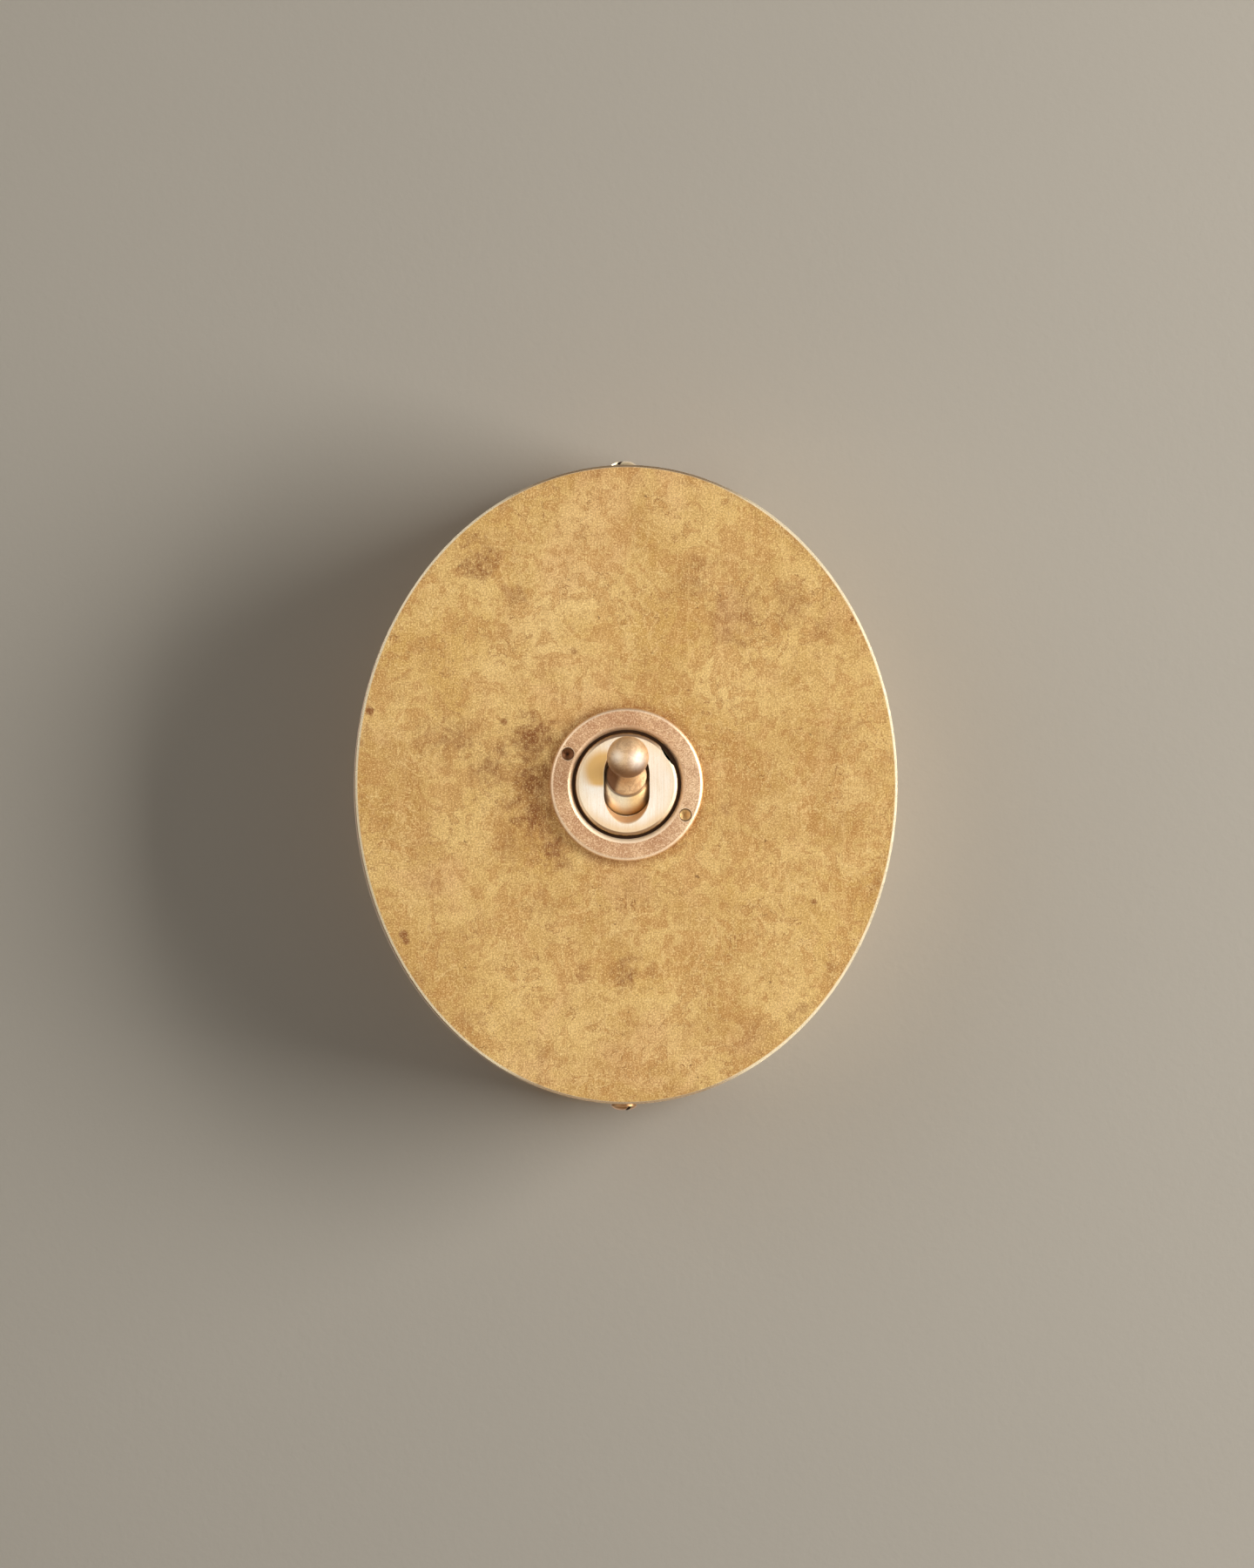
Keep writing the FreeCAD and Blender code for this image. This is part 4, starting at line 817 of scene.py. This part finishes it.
def side_screw_finish(name, side, light, worn):
    """Turned brass with painted shade in its slot, at an angle across the head."""
    material, tree, shader, where = finish_for(name, 0.3)
    x, y, z = put(tree, "ShaderNodeSeparateXYZ", {0: where}).outputs
    layers = lay(tree, tarnish, {"Vector": where, "Size": 3.0}).outputs
    edge = lay(tree, edge_rub, {"Radius": 0.0002}).outputs["Edge"]
    from_axis = work_out(tree, "SUBTRACT", y, screw_y)
    across = add_up(tree, 0.0, (from_axis, -side * math.cos(screw_slot_turn)),
                    (x, math.sin(screw_slot_turn)))
    # Painted shade: the slot across the head made nearly black.
    slot_painted_shade = times(tree, ease(tree, work_out(tree, "ABSOLUTE", across),
                            screw_slot_half_width + 0.00006, screw_slot_half_width),
                 ease(tree, times(tree, z, side), screw_slot_floor, screw_slot_floor + 0.00006))
    colour = coat(tree, tint(tree, layers["Clouds"], light, worn),
                  (layers["Islands"], 0.4, paint(140, 96, 54)),
                  (edge, 0.7, paint(254, 240, 206)),
                  (slot_painted_shade, 0.9, paint(58, 36, 22)))
    rough = add_up(tree, 0.3, (layers["Grain"], 0.16))
    colour_and_relief(tree, shader, colour, rough, layers["Grain"], 0.00001)
    return material


shank_radius = 0.0015
thread_height = 0.0001
thread_clear_of_tip = 0.0004
thread_length = 0.0034
# The top screw's paler colours are painted light and the bottom screw's darker copy of them is
# painted shade, as the one faces up and the other down.
for side, name, light, worn in (
        (1, "top_cover_screw", paint(255, 244, 216), paint(244, 216, 170)),
        (-1, "bottom_cover_screw", paint(214, 172, 124), paint(160, 114, 72))):
    low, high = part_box(name)
    tip = low.z if side > 0 else -high.z

    def about_z(across, up, along):
        """Points of a helix about a side screw, mirrored end for end below."""
        return np.stack([side * across, screw_y + up, side * along], axis=-1)

    ridge = screw_ridge(name.replace("cover_screw", "screw_thread"), shank_radius, thread_height,
                        thread_pitch, tip + thread_clear_of_tip, thread_length, about_z)
    dress(name, side_screw_finish(name.replace("cover_screw", "screw_brass"), side, light, worn))
    ridge.data.materials.append(screw_brass)
    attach(ridge, "mounting")

# Wall and floor: a plain pale painted wall that takes the shadow, seen only from the room,
# and a plain pale floor far below.


def plain_sheet(name, corners, colour, glow):
    """A flat stage sheet, shown to the camera and in reflections, and only from its front."""
    mesh = bpy.data.meshes.new(name)
    mesh.from_pydata(corners, [], [(0, 1, 2, 3)])
    sheet = bpy.data.objects.new(name, mesh)
    bpy.context.scene.collection.objects.link(sheet)
    material, tree, shader, where = finish_for(name, 0.7, metallic=0.0)
    shader.inputs["Specular IOR Level"].default_value = 0.2
    stipple = noise(tree, where, 900.0, 3.0)
    shade = tint(tree, noise(tree, where, 14.0, 2.0), colour, tuple(0.97 * c for c in colour))
    tree.links.new(shade, shader.inputs["Base Color"])
    bump = put(tree, "ShaderNodeBump", {"Height": stipple, "Distance": 0.0001, "Strength": 0.4})
    tree.links.new(bump.outputs[0], shader.inputs["Normal"])
    ray = put(tree, "ShaderNodeLightPath").outputs
    mirrored = work_out(tree, "MAXIMUM", ray["Is Glossy Ray"], ray["Is Transmission Ray"])
    far_off = work_out(tree, "GREATER_THAN", ray["Ray Length"], 0.02)
    seen = work_out(tree, "MULTIPLY_ADD", mirrored, far_off, ray["Is Camera Ray"], clamp=True)
    back = put(tree, "ShaderNodeNewGeometry").outputs["Backfacing"]
    shown = times(tree, seen, work_out(tree, "SUBTRACT", 1.0, back))
    tree.links.new(times(tree, mirrored, glow), shader.inputs["Emission Strength"])
    shader.inputs["Emission Color"].default_value = colour
    clear = put(tree, "ShaderNodeBsdfTransparent").outputs[0]
    mixed = put(tree, "ShaderNodeMixShader", {0: shown, 1: clear, 2: shader.outputs[0]})
    tree.links.new(mixed.outputs[0], tree.nodes["Material Output"].inputs["Surface"])
    mesh.materials.append(material)


wall_y = 0.0006
wall_half = 1.2
floor_z = -0.6
floor_half = 4.0
plain_sheet("wall", [(-wall_half, wall_y, floor_z), (wall_half, wall_y, floor_z),
                     (wall_half, wall_y, wall_half), (-wall_half, wall_y, wall_half)],
            paint(178, 171, 159), 0.0)
plain_sheet("floor", [(-floor_half, -floor_half, floor_z), (floor_half, -floor_half, floor_z),
                      (floor_half, floor_half, floor_z), (-floor_half, floor_half, floor_z)],
            paint(214, 210, 202), 0.7)

# Light: one large soft lamp on the right, a hand above the switch, whose shadow falls to
# the left, a weak one on the left, one behind for the back, and a pale room all round.


def soft_lamp(name, at, size_x, size_y, power, colour=(1.0, 1.0, 1.0)):
    """A rectangular lamp that looks at the switch."""
    data = bpy.data.lights.new(name, "AREA")
    data.shape = "RECTANGLE"
    data.size = size_x
    data.size_y = size_y
    data.energy = power
    data.color = colour
    lamp = bpy.data.objects.new(name, data)
    lamp.location = at
    aim = np.array([0.0, -0.04, 0.0]) - np.array(at)
    level = math.hypot(aim[0], aim[1])
    lamp.rotation_euler = (math.pi / 2 + math.atan2(aim[2], level), 0.0,
                           math.atan2(-aim[0], aim[1]))
    bpy.context.scene.collection.objects.link(lamp)


key_turn = math.radians(56)
key_far = 1.1
key_at = (key_far * math.sin(key_turn), -key_far * math.cos(key_turn), 0.11)
soft_lamp("key", key_at, 0.60, 0.76, 14.1, (1.0, 0.985, 0.96))
soft_lamp("fill", (-0.78, -0.86, 0.34), 0.8, 0.8, 2.4, (1.0, 0.98, 0.95))
soft_lamp("back", (-0.9, 1.1, 0.8), 0.8, 0.8, 22.0)
# What the room's own light comes to, where the room is neither seen nor mirrored.
lit_level = 0.18


def pale_room():
    """A soft room: bright at both sides, most on the right, and dim overhead and below."""
    world = bpy.data.worlds.new("room")
    bpy.context.scene.world = world
    world.use_nodes = True
    tree = world.node_tree
    shader = tree.nodes["Background"]
    way = put(tree, "ShaderNodeTexCoord").outputs["Generated"]
    x, _, z = put(tree, "ShaderNodeSeparateXYZ", {0: way}).outputs
    right = ease(tree, x, -0.9, 0.9, 0.88, 1.0)
    front = ease(tree, work_out(tree, "ABSOLUTE", x), 0.1, 0.8, 0.82, 1.0)
    ground = ease(tree, z, -0.98, -0.62, 0.25, 1.0)
    ceiling = ease(tree, z, 0.75, 0.95, 1.0, 0.42)
    pale = times(tree, times(tree, times(tree, right, front), ground), ceiling)
    ray = put(tree, "ShaderNodeLightPath").outputs
    seen = work_out(tree, "ADD", ray["Is Camera Ray"],
                    work_out(tree, "ADD", ray["Is Glossy Ray"], ray["Is Transmission Ray"]),
                    clamp=True)
    level = add_up(tree, lit_level, (seen, work_out(tree, "SUBTRACT", pale, lit_level)))
    tree.links.new(level, shader.inputs["Strength"])
    shader.inputs["Color"].default_value = (1.0, 0.975, 0.94, 1.0)


pale_room()
bpy.context.scene.view_settings.view_transform = "Standard"

# Camera: a long lens almost straight in front, a trace low and to the left, so that the
# band's lower left side just shows.

millimetres_tall = 300.6
far = 5.0
azimuth = math.radians(-1.0)
elevation = math.radians(-0.5)
aim = np.array([0.0001, face_front, 0.0001])
way = np.array([math.sin(azimuth) * math.cos(elevation),
                -math.cos(azimuth) * math.cos(elevation), math.sin(elevation)])
lens = bpy.data.cameras.new("camera")
lens.sensor_width = 36.0
lens.lens = lens.sensor_width * far * 1000 / millimetres_tall
lens.clip_end = 50.0
camera = bpy.data.objects.new("camera", lens)
camera.location = aim + far * way
camera.rotation_euler = (math.pi / 2 - elevation, 0.0, azimuth)
bpy.context.scene.collection.objects.link(camera)
bpy.context.scene.camera = camera
